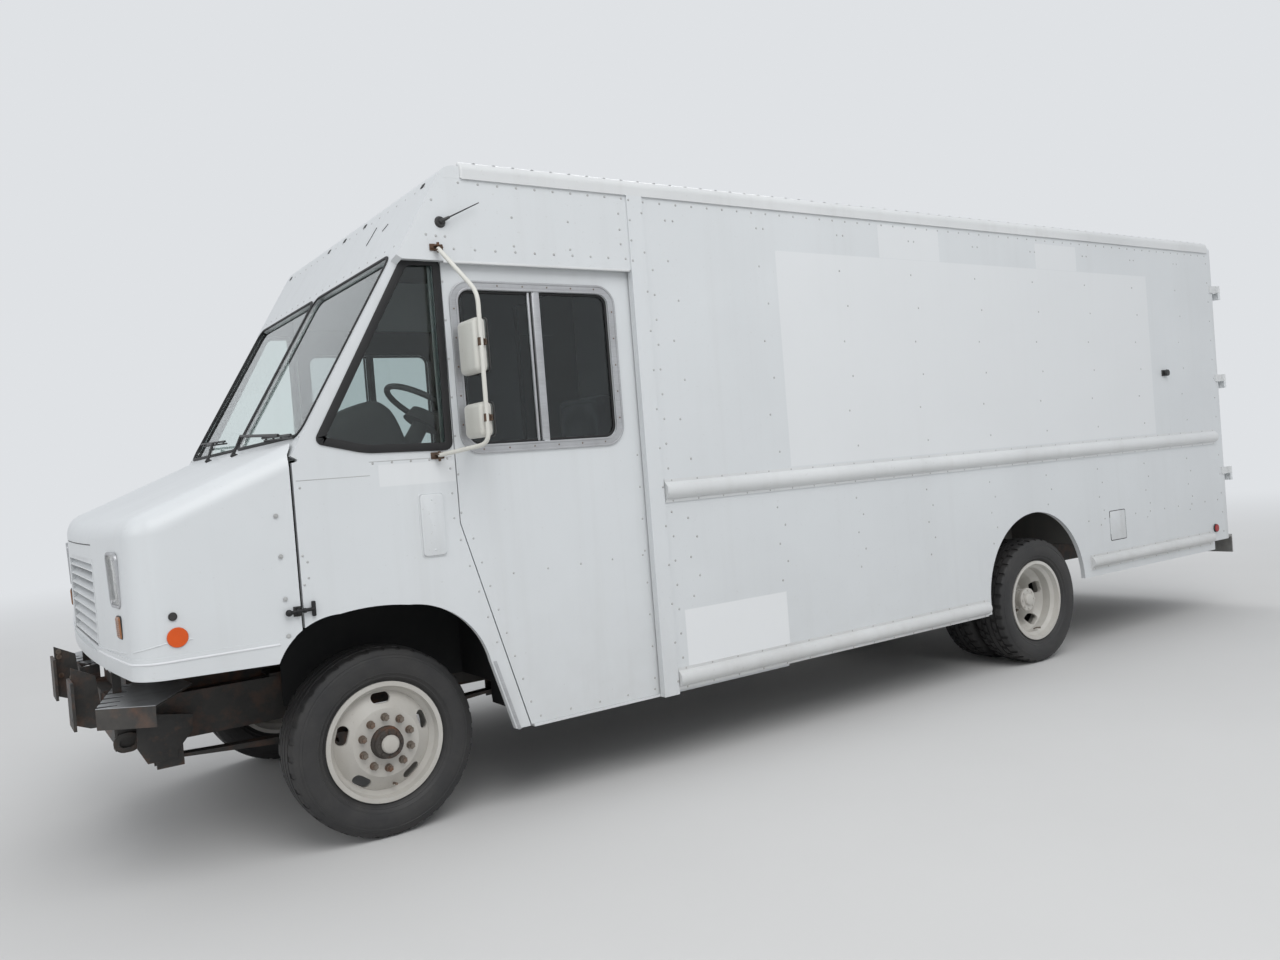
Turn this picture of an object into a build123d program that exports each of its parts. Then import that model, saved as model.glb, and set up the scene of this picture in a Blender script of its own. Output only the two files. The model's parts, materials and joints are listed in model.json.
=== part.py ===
"""Walk-in delivery truck: a step van on a twin-rail chassis, its front bumper missing.

Forward is -X and up is +Z, the ground is at z = 0, and the driver's side faces -Y.
Stations are distances behind the front axle, heights are above the ground, and
half-widths are measured from the centre plane, all in millimetres.
"""
import os
from math import cos, radians, sin, tan

from build123d import *

os.makedirs("parts", exist_ok=True)

# Layout of the whole truck
wheelbase = 4521
front_end = -1155
body_half = 1190
rail_top = 2966
tail_station = wheelbase + 2469
rear_end = tail_station + 310
cab_half = body_half - 40
post_half = body_half + 10
wall_thick = 30
skin_thick = 12
running_gap = 5
seat_gap = 0.3

# Wheels and tyres, size 245/70R19.5
tyre_radius = 419
tyre_width = 248
tyre_bead_radius = 254
rim_flange_radius = 266
rim_width = 196
flange_thick = 8
front_wheel_half = body_half - 314
rear_outer_half = body_half - 154
rear_inner_half = rear_outer_half - 280
hub_radius = 82
hub_bore = 45
hand_hole_count = 5
disc_thick = 12

# Front axle and steering
kingpin_half = front_wheel_half - 161
kingpin_radius = 22
kingpin_clear = 0.05
spindle_radius = 44.7
arm_reach = 170
tie_rod_radius = 16
axle_beam_height = 345

# Frame rails
rail_half = rear_inner_half - 326
rail_flange = 70
rail_web = 8
rail_bottom = 497
rail_height = 203
rail_front = -1000
rail_rear = tail_station - 30
rail_high = rail_bottom + rail_height

# Springs
front_spring_half = kingpin_half - 253
rear_spring_half = rear_inner_half - 236
leaf_width = 64
leaf_thick = 12

# Body heights
floor_top = 780
floor_thick = 30
skirt_bottom = 410
rear_skirt_bottom = 507
tail_bottom = 574
wall_top = rail_top - 83
roof_top = rail_top - 26
header_bottom = wall_top - 368
quarter_top = wall_top - 183
hood_gap_front = -368
hood_gap_rear = -356

# Body stations
post_front = 1355
post_rear = 1446
tail_thick = 46
bulkhead_station = 1500
bulkhead_rear = bulkhead_station + wall_thick
pocket_end = 2350
floor_pocket_half = cab_half - 42

# Windscreen plane
screen_angle = 59
screen_foot = (-362, 1688)


def screen_station(height):
    """Station at which the windscreen's slope reaches a height."""
    return screen_foot[0] + (height - screen_foot[1]) / tan(radians(screen_angle))


roof_start = screen_station(roof_top) + 80
door_seam = round(screen_station(header_bottom)) + 225

# Wheel arches
rear_arch_station = wheelbase - 37
rear_arch_height = 495
rear_arch_radius = 525

# Panes of the windscreen, up its slope from the foot
pane_inner = 10
pane_outer = cab_half - 46
pane_low = 112
pane_above_header = 30
pane_corner = 60

# Doors
door_rear = 1425
door_bottom = 396
door_top = header_bottom + 25
door_travel = 800
seam_bend = 1355
seam_foot = 630
window_front = door_seam + 69
window_rear = 1223
window_low = 1698
window_high = header_bottom - 118
window_corner = 60
frame_border = 42
frame_proud = 3
mullion_width = 28
rear_door_thick = 35
rear_door_low = 800
rear_door_high = roof_top - 280
rear_hinge_station = tail_station + 118
rear_hinge_half = body_half + 15

# Hood
nose_station = -1045
nose_edge_station = -976
nose_corner_radius = 115
hood_shoulder_radius = 95
hood_top_rear = 1755
hood_top_rear_station = -333
hood_top_front = 1490
hood_skin = 12
hood_screen_gap = 12
hood_pivot_station = -1000
hood_pivot_height = 872
hood_lug_half = 560
hood_pin_radius = 8
grille_half = 490
grille_low = 940
grille_high = 1335

# Rub rails
rub_depth = 35
belt_low = 1349
belt_height = 117
lower_rub_height = 108

mid_station = (front_end + rear_end) / 2
window_middle = (window_front + window_rear) / 2
window_width = window_rear - window_front
window_height = window_high - window_low


def station(behind_front_axle):
    """X of a place given by its distance behind the front axle."""
    return behind_front_axle - mid_station


def at(behind_front_axle, height):
    """A point of a side profile."""
    return (station(behind_front_axle), height)


def side_plane(half_width):
    """The upright plane on the driver's side, facing outward."""
    return Plane.XZ.offset(half_width)


def on_screen(along, inward=0):
    """A point of the windscreen's slope: its distance up the slope and behind the glass."""
    angle = radians(screen_angle)
    x = screen_foot[0] + along * cos(angle) + inward * sin(angle)
    z = screen_foot[1] + along * sin(angle) - inward * cos(angle)
    return at(x, z)


def slope_at(height, inward=0):
    """Distance up the slope at which it reaches a height."""
    angle = radians(screen_angle)
    return (height - screen_foot[1] + inward * cos(angle)) / sin(angle)


def box_between(x, y, z, mode=Mode.ADD):
    """A block from three pairs of limits, its first pair given as stations."""
    size = (x[1] - x[0], y[1] - y[0], z[1] - z[0])
    centre = (station((x[0] + x[1]) / 2), (y[0] + y[1]) / 2, (z[0] + z[1]) / 2)
    with Locations(centre):
        Box(*size, mode=mode)


def save(part, name):
    part.label = name
    export_step(part, f"parts/{name}.step")


def mirrored(part):
    """The same piece on the passenger's side."""
    with BuildPart() as other:
        mirror(part, about=Plane.XZ)
    return other.part


def both_sides(part):
    """A piece and its mirror image, as separate solids of one node."""
    with BuildPart() as pair:
        add(part)
        mirror(part, about=Plane.XZ)
    return pair.part


def front_arch():
    """Outline of the front wheel arch, shared by the hood and the cab sides."""
    with BuildSketch() as outline:
        with BuildLine():
            ThreePointArc(at(-470, 870), at(-385, 978), at(-210, 1033))
            ThreePointArc(at(-210, 1033), at(-60, 1043), at(90, 1028))
            ThreePointArc(at(90, 1028), at(325, 935), at(453, 719))
            Polyline(at(453, 719), at(553, 384), at(553, 200), at(-470, 200), at(-470, 870))
        make_face()
    return outline.sketch


# Wheels
def tyre(centre_half):
    """A plain tyre, revolved, its bead just clear of the rim."""
    half = tyre_width / 2
    bead = rim_width / 2 - flange_thick - seat_gap
    bead_top = rim_flange_radius + 6
    with BuildPart() as solid:
        with BuildSketch(Plane.YZ):
            with BuildLine():
                Polyline((-bead, bead_top), (-bead + 2, tyre_bead_radius), (bead - 2, tyre_bead_radius),
                         (bead, bead_top))
                ThreePointArc((bead, bead_top), (half, 336), (half - 14, 398))
                ThreePointArc((half - 14, 398), (half - 20, 410), (half - 34, 414))
                ThreePointArc((half - 34, 414), (0, tyre_radius), (-half + 34, 414))
                ThreePointArc((-half + 34, 414), (-half + 20, 410), (-half + 14, 398))
                ThreePointArc((-half + 14, 398), (-half, 336), (-bead, bead_top))
            make_face()
        revolve(axis=Axis.Y)
    return solid.part.moved(Location((0, -centre_half, 0)))


def rim_barrel(centre_half, disc_points, hole_radius):
    """A rim with its disc: the barrel's section and the disc's are revolved together."""
    half = rim_width / 2
    inner = tyre_bead_radius - seat_gap
    with BuildPart() as solid:
        with BuildSketch(Plane.YZ):
            with BuildLine():
                Polyline(
                    (-half, rim_flange_radius), (-half + flange_thick, rim_flange_radius),
                    (-half + flange_thick, inner), (half - flange_thick, inner),
                    (half - flange_thick, rim_flange_radius), (half, rim_flange_radius),
                    (half, inner - 8), (half - 30, inner - 16), (half - 50, inner - 34),
                    (-half + 50, inner - 34), (-half + 30, inner - 16), (-half, inner - 8),
                    (-half, rim_flange_radius),
                )
            make_face()
        revolve(axis=Axis.Y)
        with BuildSketch(Plane.YZ):
            with BuildLine():
                Polyline(*disc_points, disc_points[0])
            make_face()
        revolve(axis=Axis.Y)
        hole_plane = Plane(origin=(0, 0, 0), x_dir=(1, 0, 0), z_dir=(0, -1, 0))
        with BuildSketch(hole_plane.offset(-half - 60)):
            with PolarLocations(hole_radius, hand_hole_count, start_angle=90):
                SlotOverall(86, 44, rotation=90)
        extrude(amount=rim_width + 120, mode=Mode.SUBTRACT)
        with BuildSketch(hole_plane.offset(-half - 60)):
            Circle(hub_bore)
        extrude(amount=rim_width + 120, mode=Mode.SUBTRACT)
    return solid.part.moved(Location((0, -centre_half, 0)))


def front_rim():
    """Front wheel: the disc bulges outward and carries the hub and brake drum."""
    half = rim_width / 2
    inner = tyre_bead_radius - seat_gap - 34
    disc = [
        (-half + 54, inner + 4), (-half + 34, 196), (-half - 2, 150), (-half - 2, hub_bore),
        (-half + 60, hub_bore), (-half + 60, hub_radius), (-half + 10, hub_radius),
        (-half + 10, 146), (-half + 46, 190), (-half + 74, inner + 4),
    ]
    return rim_barrel(front_wheel_half, disc, 192)


def rear_rims():
    """Twin rear wheels joined at their discs, with the drum between them."""
    half = rim_width / 2
    mount = (rear_outer_half - rear_inner_half) / 2
    inner = tyre_bead_radius - seat_gap - 34
    outer_disc = [
        (half - 74, inner + 4), (half - 40, 190), (mount, 150), (mount, hub_bore),
        (half - 60, hub_bore), (half - 60, 70), (mount - disc_thick, 78), (mount - disc_thick, 146),
        (half - 52, 184), (half - 94, inner + 4),
    ]
    inner_disc = [(-y, z) for y, z in outer_disc]
    with BuildPart() as pair:
        add(rim_barrel(rear_outer_half, outer_disc, 192))
        add(rim_barrel(rear_inner_half, inner_disc, 192))
    return pair.part


wheel_height = tyre_radius
front_wheel_place = Location((station(0), 0, wheel_height))
rear_wheel_place = Location((station(wheelbase), 0, wheel_height))

rim_front_left = front_rim().moved(front_wheel_place)
tyre_front_left = tyre(front_wheel_half).moved(front_wheel_place)
rim_rear_left = rear_rims().moved(rear_wheel_place)
with BuildPart() as tyre_rear_left:
    add(tyre(rear_outer_half).moved(rear_wheel_place))
    add(tyre(rear_inner_half).moved(rear_wheel_place))

save(rim_front_left, "rim_front_left")
save(mirrored(rim_front_left), "rim_front_right")
save(tyre_front_left, "tyre_front_left")
save(mirrored(tyre_front_left), "tyre_front_right")
save(rim_rear_left, "rim_rear_left")
save(mirrored(rim_rear_left), "rim_rear_right")
save(tyre_rear_left.part, "tyre_rear_left")
save(mirrored(tyre_rear_left.part), "tyre_rear_right")

# Knuckles: a forked yoke round the axle's end, a spindle outward and an arm to the tie rod
yoke_height = 150
boss_height = 92
boss_radius = 42
fork_depth = 60
arm_half = 30
arm_thick = 24

with BuildPart() as knuckle_left:
    for side in (-1, 1):
        low = boss_height / 2 + running_gap if side > 0 else -yoke_height / 2
        with BuildSketch(Plane.XY.offset(wheel_height + low)):
            with Locations((station(0), -kingpin_half)):
                Circle(boss_radius)
        extrude(amount=yoke_height / 2 - boss_height / 2 - running_gap)
    box_between((-40, 40), (-kingpin_half - 70, -kingpin_half - boss_radius - 8),
                (wheel_height - yoke_height / 2, wheel_height + yoke_height / 2))
    for side in (-1, 1):
        low = boss_height / 2 + running_gap if side > 0 else -yoke_height / 2
        box_between((-32, 32), (-kingpin_half - fork_depth, -kingpin_half),
                    (wheel_height + low, wheel_height + low + yoke_height / 2 - boss_height / 2 - running_gap))
    with BuildSketch(Plane.XY.offset(wheel_height - yoke_height / 2)):
        with Locations((station(0), -kingpin_half)):
            Circle(kingpin_radius)
    extrude(amount=yoke_height)
    with BuildSketch(side_plane(kingpin_half + fork_depth)):
        with Locations((station(0), wheel_height)):
            Circle(spindle_radius)
    extrude(amount=front_wheel_half - kingpin_half + 20)
    with BuildSketch(Plane.XY.offset(wheel_height - yoke_height / 2)):
        with BuildLine():
            Polyline(
                (station(0), -kingpin_half - arm_half), (station(arm_reach), -kingpin_half + arm_half),
                (station(arm_reach + 25), -kingpin_half + 55), (station(arm_reach), -kingpin_half + 80),
                (station(0), -kingpin_half + arm_half), (station(0), -kingpin_half - arm_half),
            )
        make_face()
    extrude(amount=arm_thick)
save(knuckle_left.part, "knuckle_left")
save(mirrored(knuckle_left.part), "knuckle_right")

# Tie rod, slung below the arms and opened at their ball joints
arm_end_half = kingpin_half - 55
tie_rod_height = wheel_height - yoke_height / 2 - 0.5
ball_height = 38
ball_radius = 24
with BuildPart() as tie_rod:
    with BuildSketch(Plane.XZ.offset(arm_end_half - 10)):
        with Locations(at(arm_reach, tie_rod_height - tie_rod_radius - 2)):
            Circle(tie_rod_radius)
    extrude(amount=-2 * (arm_end_half - 10))
    for side in (-1, 1):
        with BuildSketch(Plane.XY.offset(tie_rod_height - ball_height)):
            with Locations((station(arm_reach), side * arm_end_half)):
                Circle(ball_radius)
        extrude(amount=ball_height)
save(tie_rod.part, "tie_rod")

# Front axle: a dropped beam, level over the steering arms' swing, between its two kingpin bosses
arm_swing = 125
beam_half = 36
drop_half = front_spring_half + 60
beam_high = axle_beam_height + 45
beam_low = axle_beam_height - 45
boss_low = wheel_height - 40
with BuildPart() as front_axle:
    with BuildSketch(Plane.YZ.offset(station(-beam_half))):
        with BuildLine():
            Polyline(
                (-kingpin_half, wheel_height + 30), (-kingpin_half + 60, wheel_height + 30),
                (-drop_half, beam_high), (drop_half, beam_high),
                (kingpin_half - 60, wheel_height + 30), (kingpin_half, wheel_height + 30),
                (kingpin_half, boss_low), (kingpin_half - arm_swing, boss_low),
                (drop_half, beam_low), (-drop_half, beam_low),
                (-kingpin_half + arm_swing, boss_low), (-kingpin_half, boss_low),
                (-kingpin_half, wheel_height + 30),
            )
        make_face()
    extrude(amount=2 * beam_half)
    for side in (-1, 1):
        with BuildSketch(Plane.XY.offset(wheel_height - boss_height / 2)):
            with Locations((station(0), side * kingpin_half)):
                Circle(boss_radius)
        extrude(amount=boss_height)
        with BuildSketch(Plane.XY.offset(wheel_height - boss_height / 2)):
            with Locations((station(0), side * kingpin_half)):
                Circle(kingpin_radius + kingpin_clear)
        extrude(amount=boss_height, mode=Mode.SUBTRACT)
    for face in (-beam_half, beam_half):
        box_between((face - 22, face + 22), (-front_spring_half + 60, front_spring_half - 60),
                    (axle_beam_height - 26, axle_beam_height + 26), mode=Mode.SUBTRACT)
save(front_axle.part, "front_axle")


def leaf_pack(middle, height, half_length, rise, count, half_width):
    """A curved leaf spring: leaves that shorten upward or downward from the main leaf."""
    with BuildPart() as pack:
        with BuildSketch(side_plane(half_width - leaf_width / 2)):
            with BuildLine():
                ThreePointArc(at(middle - half_length, height + rise), at(middle, height),
                              at(middle + half_length, height + rise))
                Line(at(middle + half_length, height + rise), at(middle + half_length, height + rise - leaf_thick))
                Line(at(middle + half_length, height + rise - leaf_thick),
                     at(middle + half_length * 0.3, height - count * leaf_thick))
                Line(at(middle + half_length * 0.3, height - count * leaf_thick),
                     at(middle - half_length * 0.3, height - count * leaf_thick))
                Line(at(middle - half_length * 0.3, height - count * leaf_thick),
                     at(middle - half_length, height + rise - leaf_thick))
                Line(at(middle - half_length, height + rise - leaf_thick), at(middle - half_length, height + rise))
            make_face()
        extrude(amount=leaf_width)
        for end in (-1, 1):
            with BuildSketch(side_plane(half_width - leaf_width / 2)):
                with Locations(at(middle + end * half_length, height + rise - eye_drop)):
                    Circle(eye_radius)
            extrude(amount=leaf_width)
    return pack.part


spring_rise = 20
eye_radius = 24
eye_drop = 6
front_spring_reach = 800
rear_spring_reach = 720
front_pack_height = axle_beam_height + 45 + 3 * leaf_thick
rear_axle_radius = 62
rear_pack_height = wheel_height + rear_axle_radius + 10 + 5 * leaf_thick
with BuildPart() as leaf_springs:
    for half_width, middle, height, reach, rise, count in (
        (front_spring_half, 0, front_pack_height, front_spring_reach, spring_rise, 3),
        (rear_spring_half, wheelbase, rear_pack_height, rear_spring_reach, spring_rise, 5),
    ):
        pack = leaf_pack(middle, height, reach, rise, count, half_width)
        add(pack)
        mirror(pack, about=Plane.XZ)
save(leaf_springs.part, "leaf_springs")

# Rear axle: tube, banjo, spindles and the shaft that drives it
axle_tube_half = rear_inner_half - 156
banjo_radius = 168
pinion_station = wheelbase - 330
shaft_radius = 45
with BuildPart() as rear_axle:
    with BuildSketch(Plane.XZ.offset(axle_tube_half)):
        with Locations(at(wheelbase, wheel_height)):
            Circle(rear_axle_radius)
    extrude(amount=-2 * axle_tube_half)
    with BuildSketch(Plane.XZ.offset(rear_outer_half + 20)):
        with Locations(at(wheelbase, wheel_height)):
            Circle(spindle_radius)
    extrude(amount=-2 * (rear_outer_half + 20))
    with Locations((station(wheelbase), 0, wheel_height)):
        Sphere(banjo_radius)
    with BuildSketch(Plane.YZ.offset(station(pinion_station))):
        with Locations((0, wheel_height + 10)):
            Circle(shaft_radius + 15)
    extrude(amount=300)
    for side in (-1, 1):
        box_between((wheelbase - 60, wheelbase + 60), (side * rear_spring_half - 40, side * rear_spring_half + 40),
                    (wheel_height + 30, wheel_height + rear_axle_radius + 10))
save(rear_axle.part, "rear_axle")

drive_shaft_start = 500
with BuildPart() as drive_shaft:
    for place, rise in ((drive_shaft_start, 18), (pinion_station, 10)):
        with BuildSketch(Plane.YZ.offset(station(place))):
            with Locations((0, wheel_height + rise)):
                Circle(shaft_radius)
    loft(ruled=True)
save(drive_shaft.part, "drive_shaft")

# Chassis frame: two channel rails, crossmembers, front plates, step plates, hangers and tow hooks
plate_bolt_y = 110
plate_bolt_z = 110
plate_hole_radius = 9
plate_height = 730
plate_thick = 12
plate_reach = 90
plate_rise = 100
step_plate_height = 765
step_plate_thick = 6
engine_half = rail_half - 160
# middle station and width of each crossmember
crossmembers = (
    (-930, 120), (620, 80), (1900, 80), (3300, 80), (wheelbase - 761, 80), (wheelbase + 739, 80),
    (wheelbase + 1579, 80), (tail_station - 90, 80),
)
# side profile of the plates that reach forward from the rails, clear of the tilted hood
horn_profile = (
    (front_end + plate_thick, 885), (front_end + plate_thick, 640), (-1085, 616), (rail_front + 60, 612),
    (rail_front + 60, 690), (-1040, 690), (-1052, 836), (front_end + plate_thick, 885),
)
# corners of a step plate, its front edge first, as station and half-width
step_inner = rail_half - 30
step_outer = rail_half + 456
step_corners = (
    (-985, step_inner), (-1105, step_outer), (-914, step_outer + 148), (-715, rail_half + 233),
    (-745, step_inner), (-985, step_inner),
)
with BuildPart() as rail_pair:
    with BuildSketch(Plane.YZ.offset(station(rail_front))):
        with BuildLine():
            Polyline(
                (-rail_half, rail_bottom), (-rail_half, rail_high), (-rail_half + rail_flange, rail_high),
                (-rail_half + rail_flange, rail_high - rail_web), (-rail_half + rail_web, rail_high - rail_web),
                (-rail_half + rail_web, rail_bottom + rail_web),
                (-rail_half + rail_flange, rail_bottom + rail_web),
                (-rail_half + rail_flange, rail_bottom), (-rail_half, rail_bottom),
            )
        make_face()
    extrude(amount=rail_rear - rail_front)
    mirror(about=Plane.XZ)

with BuildPart() as chassis_frame:
    add(rail_pair.part)
    inner = rail_half - rail_web
    for middle, width in crossmembers:
        box_between((middle - width / 2, middle + width / 2), (-inner, inner),
                    (rail_bottom + rail_web, rail_high - rail_web))
        box_between((middle - width / 2 + 6, middle + width / 2), (-inner + rail_flange, inner - rail_flange),
                    (rail_bottom + rail_web - 1, rail_high - rail_web - 6), mode=Mode.SUBTRACT)
    for side in (-1, 1):
        web_middle = side * (rail_half - rail_web / 2)
        box_between((front_end, front_end + plate_thick), (side * rail_half - plate_reach, side * rail_half + plate_reach),
                    (plate_height - plate_rise, plate_height + plate_rise))
        with BuildSketch(Plane.XZ.offset(-web_middle - rail_web / 2)):
            with BuildLine():
                Polyline(*(at(*corner) for corner in horn_profile))
            make_face()
        extrude(amount=rail_web)
        for bolt_y in (-plate_bolt_y / 2, plate_bolt_y / 2):
            for bolt_z in (-plate_bolt_z / 2, plate_bolt_z / 2):
                with BuildSketch(Plane.YZ.offset(station(front_end - 5))):
                    with Locations((side * rail_half + bolt_y, plate_height + bolt_z)):
                        Circle(plate_hole_radius)
                extrude(amount=plate_thick + 10, mode=Mode.SUBTRACT)
        with BuildSketch(Plane.XY.offset(step_plate_height)):
            with BuildLine():
                Polyline(*((station(place), side * half) for place, half in step_corners))
            make_face()
        extrude(amount=step_plate_thick)
        with BuildSketch(Plane.XY.offset(step_plate_height - 75)):
            with BuildLine():
                Polyline((station(-1105), side * step_outer), (station(-914), side * (step_outer + 148)),
                         (station(-912), side * (step_outer + 142)), (station(-1100), side * (step_outer - 6)),
                         (station(-1105), side * step_outer))
            make_face()
        extrude(amount=75)
        low, high = sorted((side * (rail_half - 10), side * (rail_half + 400)))
        box_between((-1040, -1030), (low, high), (640, step_plate_height))
        box_between((-1030, -950), (web_middle - rail_web / 2, web_middle + rail_web / 2), (640, step_plate_height))
        for place, height, half_width in (
            (-front_spring_reach, front_pack_height, front_spring_half),
            (front_spring_reach, front_pack_height, front_spring_half),
            (wheelbase - rear_spring_reach, rear_pack_height, rear_spring_half),
            (wheelbase + rear_spring_reach, rear_pack_height, rear_spring_half),
        ):
            eye = height + spring_rise - eye_drop
            outside = side * (half_width + leaf_width / 2 + 12)
            low, high = sorted((side * (rail_half - rail_web), outside))
            box_between((place - 55, place + 55), (low, high), (eye - 40, eye + 90))
            slot = leaf_width / 2 + seat_gap
            box_between((place - 56, place + 56), (side * half_width - slot, side * half_width + slot),
                        (eye - 41, eye + 45), mode=Mode.SUBTRACT)
        low, high = sorted((side * (engine_half + seat_gap), side * (rail_half - 6)))
        box_between((-340, -260), (low, high), (rail_high, rail_high + 14))
        box_between((hood_pivot_station - 8, hood_pivot_station + 26),
                    (side * (hood_lug_half + 16) - 5.7, side * (hood_lug_half + 16) + 5.7),
                    (770, hood_pivot_height + 8))
        with BuildSketch(Plane.XZ.offset(-side * hood_lug_half - 12)):
            with Locations(at(hood_pivot_station, hood_pivot_height)):
                Circle(hood_pin_radius)
        extrude(amount=24)
        with BuildSketch(Plane.XZ.offset(-side * (rail_half + rail_web) - rail_web)):
            with Locations(at(-955, 530)):
                SlotOverall(106, 84)
                SlotOverall(62, 40, mode=Mode.SUBTRACT)
        extrude(amount=16)
save(chassis_frame.part, "chassis_frame")

# Engine and radiator, fuel tank, exhaust
cross_bearers = (1600, 2200, 2800, 3400, wheelbase + 879, wheelbase + 1479, wheelbase + 2079)
with BuildPart() as engine:
    box_between((-740, 120), (-engine_half, engine_half), (540, 1180))
    fillet(engine.edges().filter_by(Axis.Z), 50)
    box_between((100, drive_shaft_start), (-140, 140), (415, 700))
save(engine.part, "engine")

with BuildPart() as radiator:
    box_between((-935, -865), (-rail_half + 30, rail_half - 30), (rail_high, 1340))
save(radiator.part, "radiator")

with BuildPart() as fuel_tank:
    box_between((wheelbase + 779 + seat_gap, wheelbase + 1539 - seat_gap), (-rail_half + 90, rail_half - 90),
                (430, rail_high - 10))
    fillet(fuel_tank.edges().filter_by(Axis.Y), 60)
save(fuel_tank.part, "fuel_tank")

exhaust_place = (rail_half + 190, 560)
exhaust_rear = 3530
pipe_radius = 38
with BuildPart() as exhaust:
    with BuildSketch(Plane.YZ.offset(station(1500))):
        with Locations(exhaust_place):
            Ellipse(130, 85)
    extrude(amount=900)
    for start, end in ((620, 1520), (2380, exhaust_rear)):
        with BuildSketch(Plane.YZ.offset(station(start))):
            with Locations(exhaust_place):
                Circle(pipe_radius)
        extrude(amount=end - start)
    for place in cross_bearers[:2]:
        box_between((place - 10, place + 10), (exhaust_place[0] - 60, exhaust_place[0] + 60),
                    (600, rail_high - seat_gap))
save(exhaust.part, "exhaust")

# Floors
wheel_box_reach = 548
wheel_box_inner = rear_inner_half - 156
wheel_box_top = 1052
with BuildPart() as cargo_floor:
    box_between((pocket_end, tail_station), (-body_half + wall_thick, body_half - wall_thick),
                (floor_top - floor_thick, floor_top))
    box_between((bulkhead_rear, pocket_end), (-floor_pocket_half, floor_pocket_half),
                (floor_top - floor_thick, floor_top))
    for middle in cross_bearers:
        box_between((middle - 25, middle + 25), (-floor_pocket_half, floor_pocket_half),
                    (rail_high, floor_top - floor_thick))
    for side in (-1, 1):
        low, high = sorted((side * (body_half - wall_thick), side * wheel_box_inner))
        box_between((rear_arch_station - wheel_box_reach, rear_arch_station + wheel_box_reach), (low, high),
                    (floor_top - floor_thick, wheel_box_top))
        low, high = sorted((side * (body_half - wall_thick + 1), side * (wheel_box_inner + skin_thick)))
        reach = wheel_box_reach - skin_thick
        box_between((rear_arch_station - reach, rear_arch_station + reach), (low, high),
                    (floor_top - floor_thick - 1, wheel_box_top - skin_thick), mode=Mode.SUBTRACT)
save(cargo_floor.part, "cargo_floor")

well_front = 660
well_rear = 1330
well_inner = 720
well_low = 440
housing_rear = 600
housing_inner = 480
housing_top = 1070
cab_floor_front = -300
cover_rear = 330
cover_half = 330
cover_top = 1240
with BuildPart() as cab_floor:
    box_between((cab_floor_front, bulkhead_rear), (-floor_pocket_half, floor_pocket_half),
                (floor_top - floor_thick, floor_top))
    for side in (-1, 1):
        low, high = sorted((side * floor_pocket_half, side * (well_inner - skin_thick)))
        box_between((well_front - skin_thick, well_rear + skin_thick), (low, high),
                    (well_low - skin_thick, floor_top))
        low, high = sorted((side * (floor_pocket_half + 1), side * well_inner))
        box_between((well_front, well_rear), (low, high), (well_low, floor_top + 1), mode=Mode.SUBTRACT)
        low, high = sorted((side * floor_pocket_half, side * (housing_inner - skin_thick)))
        box_between((cab_floor_front, housing_rear + skin_thick), (low, high), (560, housing_top + skin_thick))
        low, high = sorted((side * (floor_pocket_half + 1), side * housing_inner))
        box_between((cab_floor_front - 1, housing_rear), (low, high), (559, housing_top), mode=Mode.SUBTRACT)
    box_between((cab_floor_front - 1, cover_rear), (-cover_half, cover_half),
                (floor_top - floor_thick - 1, floor_top + 1), mode=Mode.SUBTRACT)
save(cab_floor.part, "cab_floor")

# Cargo side walls
with BuildPart() as side_wall_left:
    with BuildSketch(side_plane(body_half - wall_thick)):
        with BuildLine():
            Polyline(
                at(post_rear, skirt_bottom), at(post_rear, wall_top), at(tail_station, wall_top),
                at(tail_station, tail_bottom), at(tail_station - 180, tail_bottom),
                at(tail_station - 180, rear_skirt_bottom),
                at(rear_arch_station, rear_skirt_bottom), at(rear_arch_station, skirt_bottom),
                at(post_rear, skirt_bottom),
            )
        make_face()
    extrude(amount=wall_thick)
    with BuildSketch(side_plane(body_half - wall_thick)):
        with Locations(at(rear_arch_station, rear_arch_height)):
            Circle(rear_arch_radius)
        with Locations(at(rear_arch_station, rear_arch_height - 100)):
            Rectangle(2 * rear_arch_radius, 200)
    extrude(amount=wall_thick, mode=Mode.SUBTRACT)
save(side_wall_left.part, "side_wall_left")
save(mirrored(side_wall_left.part), "side_wall_right")

# Roof and its rails
rail_inner_half = body_half - 35
roof_crown = 25
roof_depth = 55
with BuildPart() as roof:
    with BuildSketch(Plane.YZ.offset(station(roof_start))):
        with BuildLine():
            ThreePointArc((-rail_inner_half, roof_top - roof_crown), (0, roof_top),
                          (rail_inner_half, roof_top - roof_crown))
            Polyline((rail_inner_half, roof_top - roof_crown), (rail_inner_half, roof_top - roof_depth),
                     (-rail_inner_half, roof_top - roof_depth), (-rail_inner_half, roof_top - roof_crown))
        make_face()
    extrude(amount=tail_station - roof_start)
save(roof.part, "roof")

rail_round = 42
rail_end_round = 10
rail_start = roof_start + seat_gap
with BuildPart() as rail_left:
    with BuildSketch(Plane.YZ.offset(station(rail_start))):
        with BuildLine():
            Polyline((-rail_inner_half, wall_top), (-rail_inner_half, rail_top), (-post_half + rail_round, rail_top))
            RadiusArc((-post_half + rail_round, rail_top), (-post_half, rail_top - rail_round), -rail_round)
            Polyline((-post_half, rail_top - rail_round), (-post_half, wall_top), (-rail_inner_half, wall_top))
        make_face()
    extrude(amount=tail_station - 10 - rail_start)
    fillet(rail_left.edges().group_by(Axis.X)[0], rail_end_round)

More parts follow.
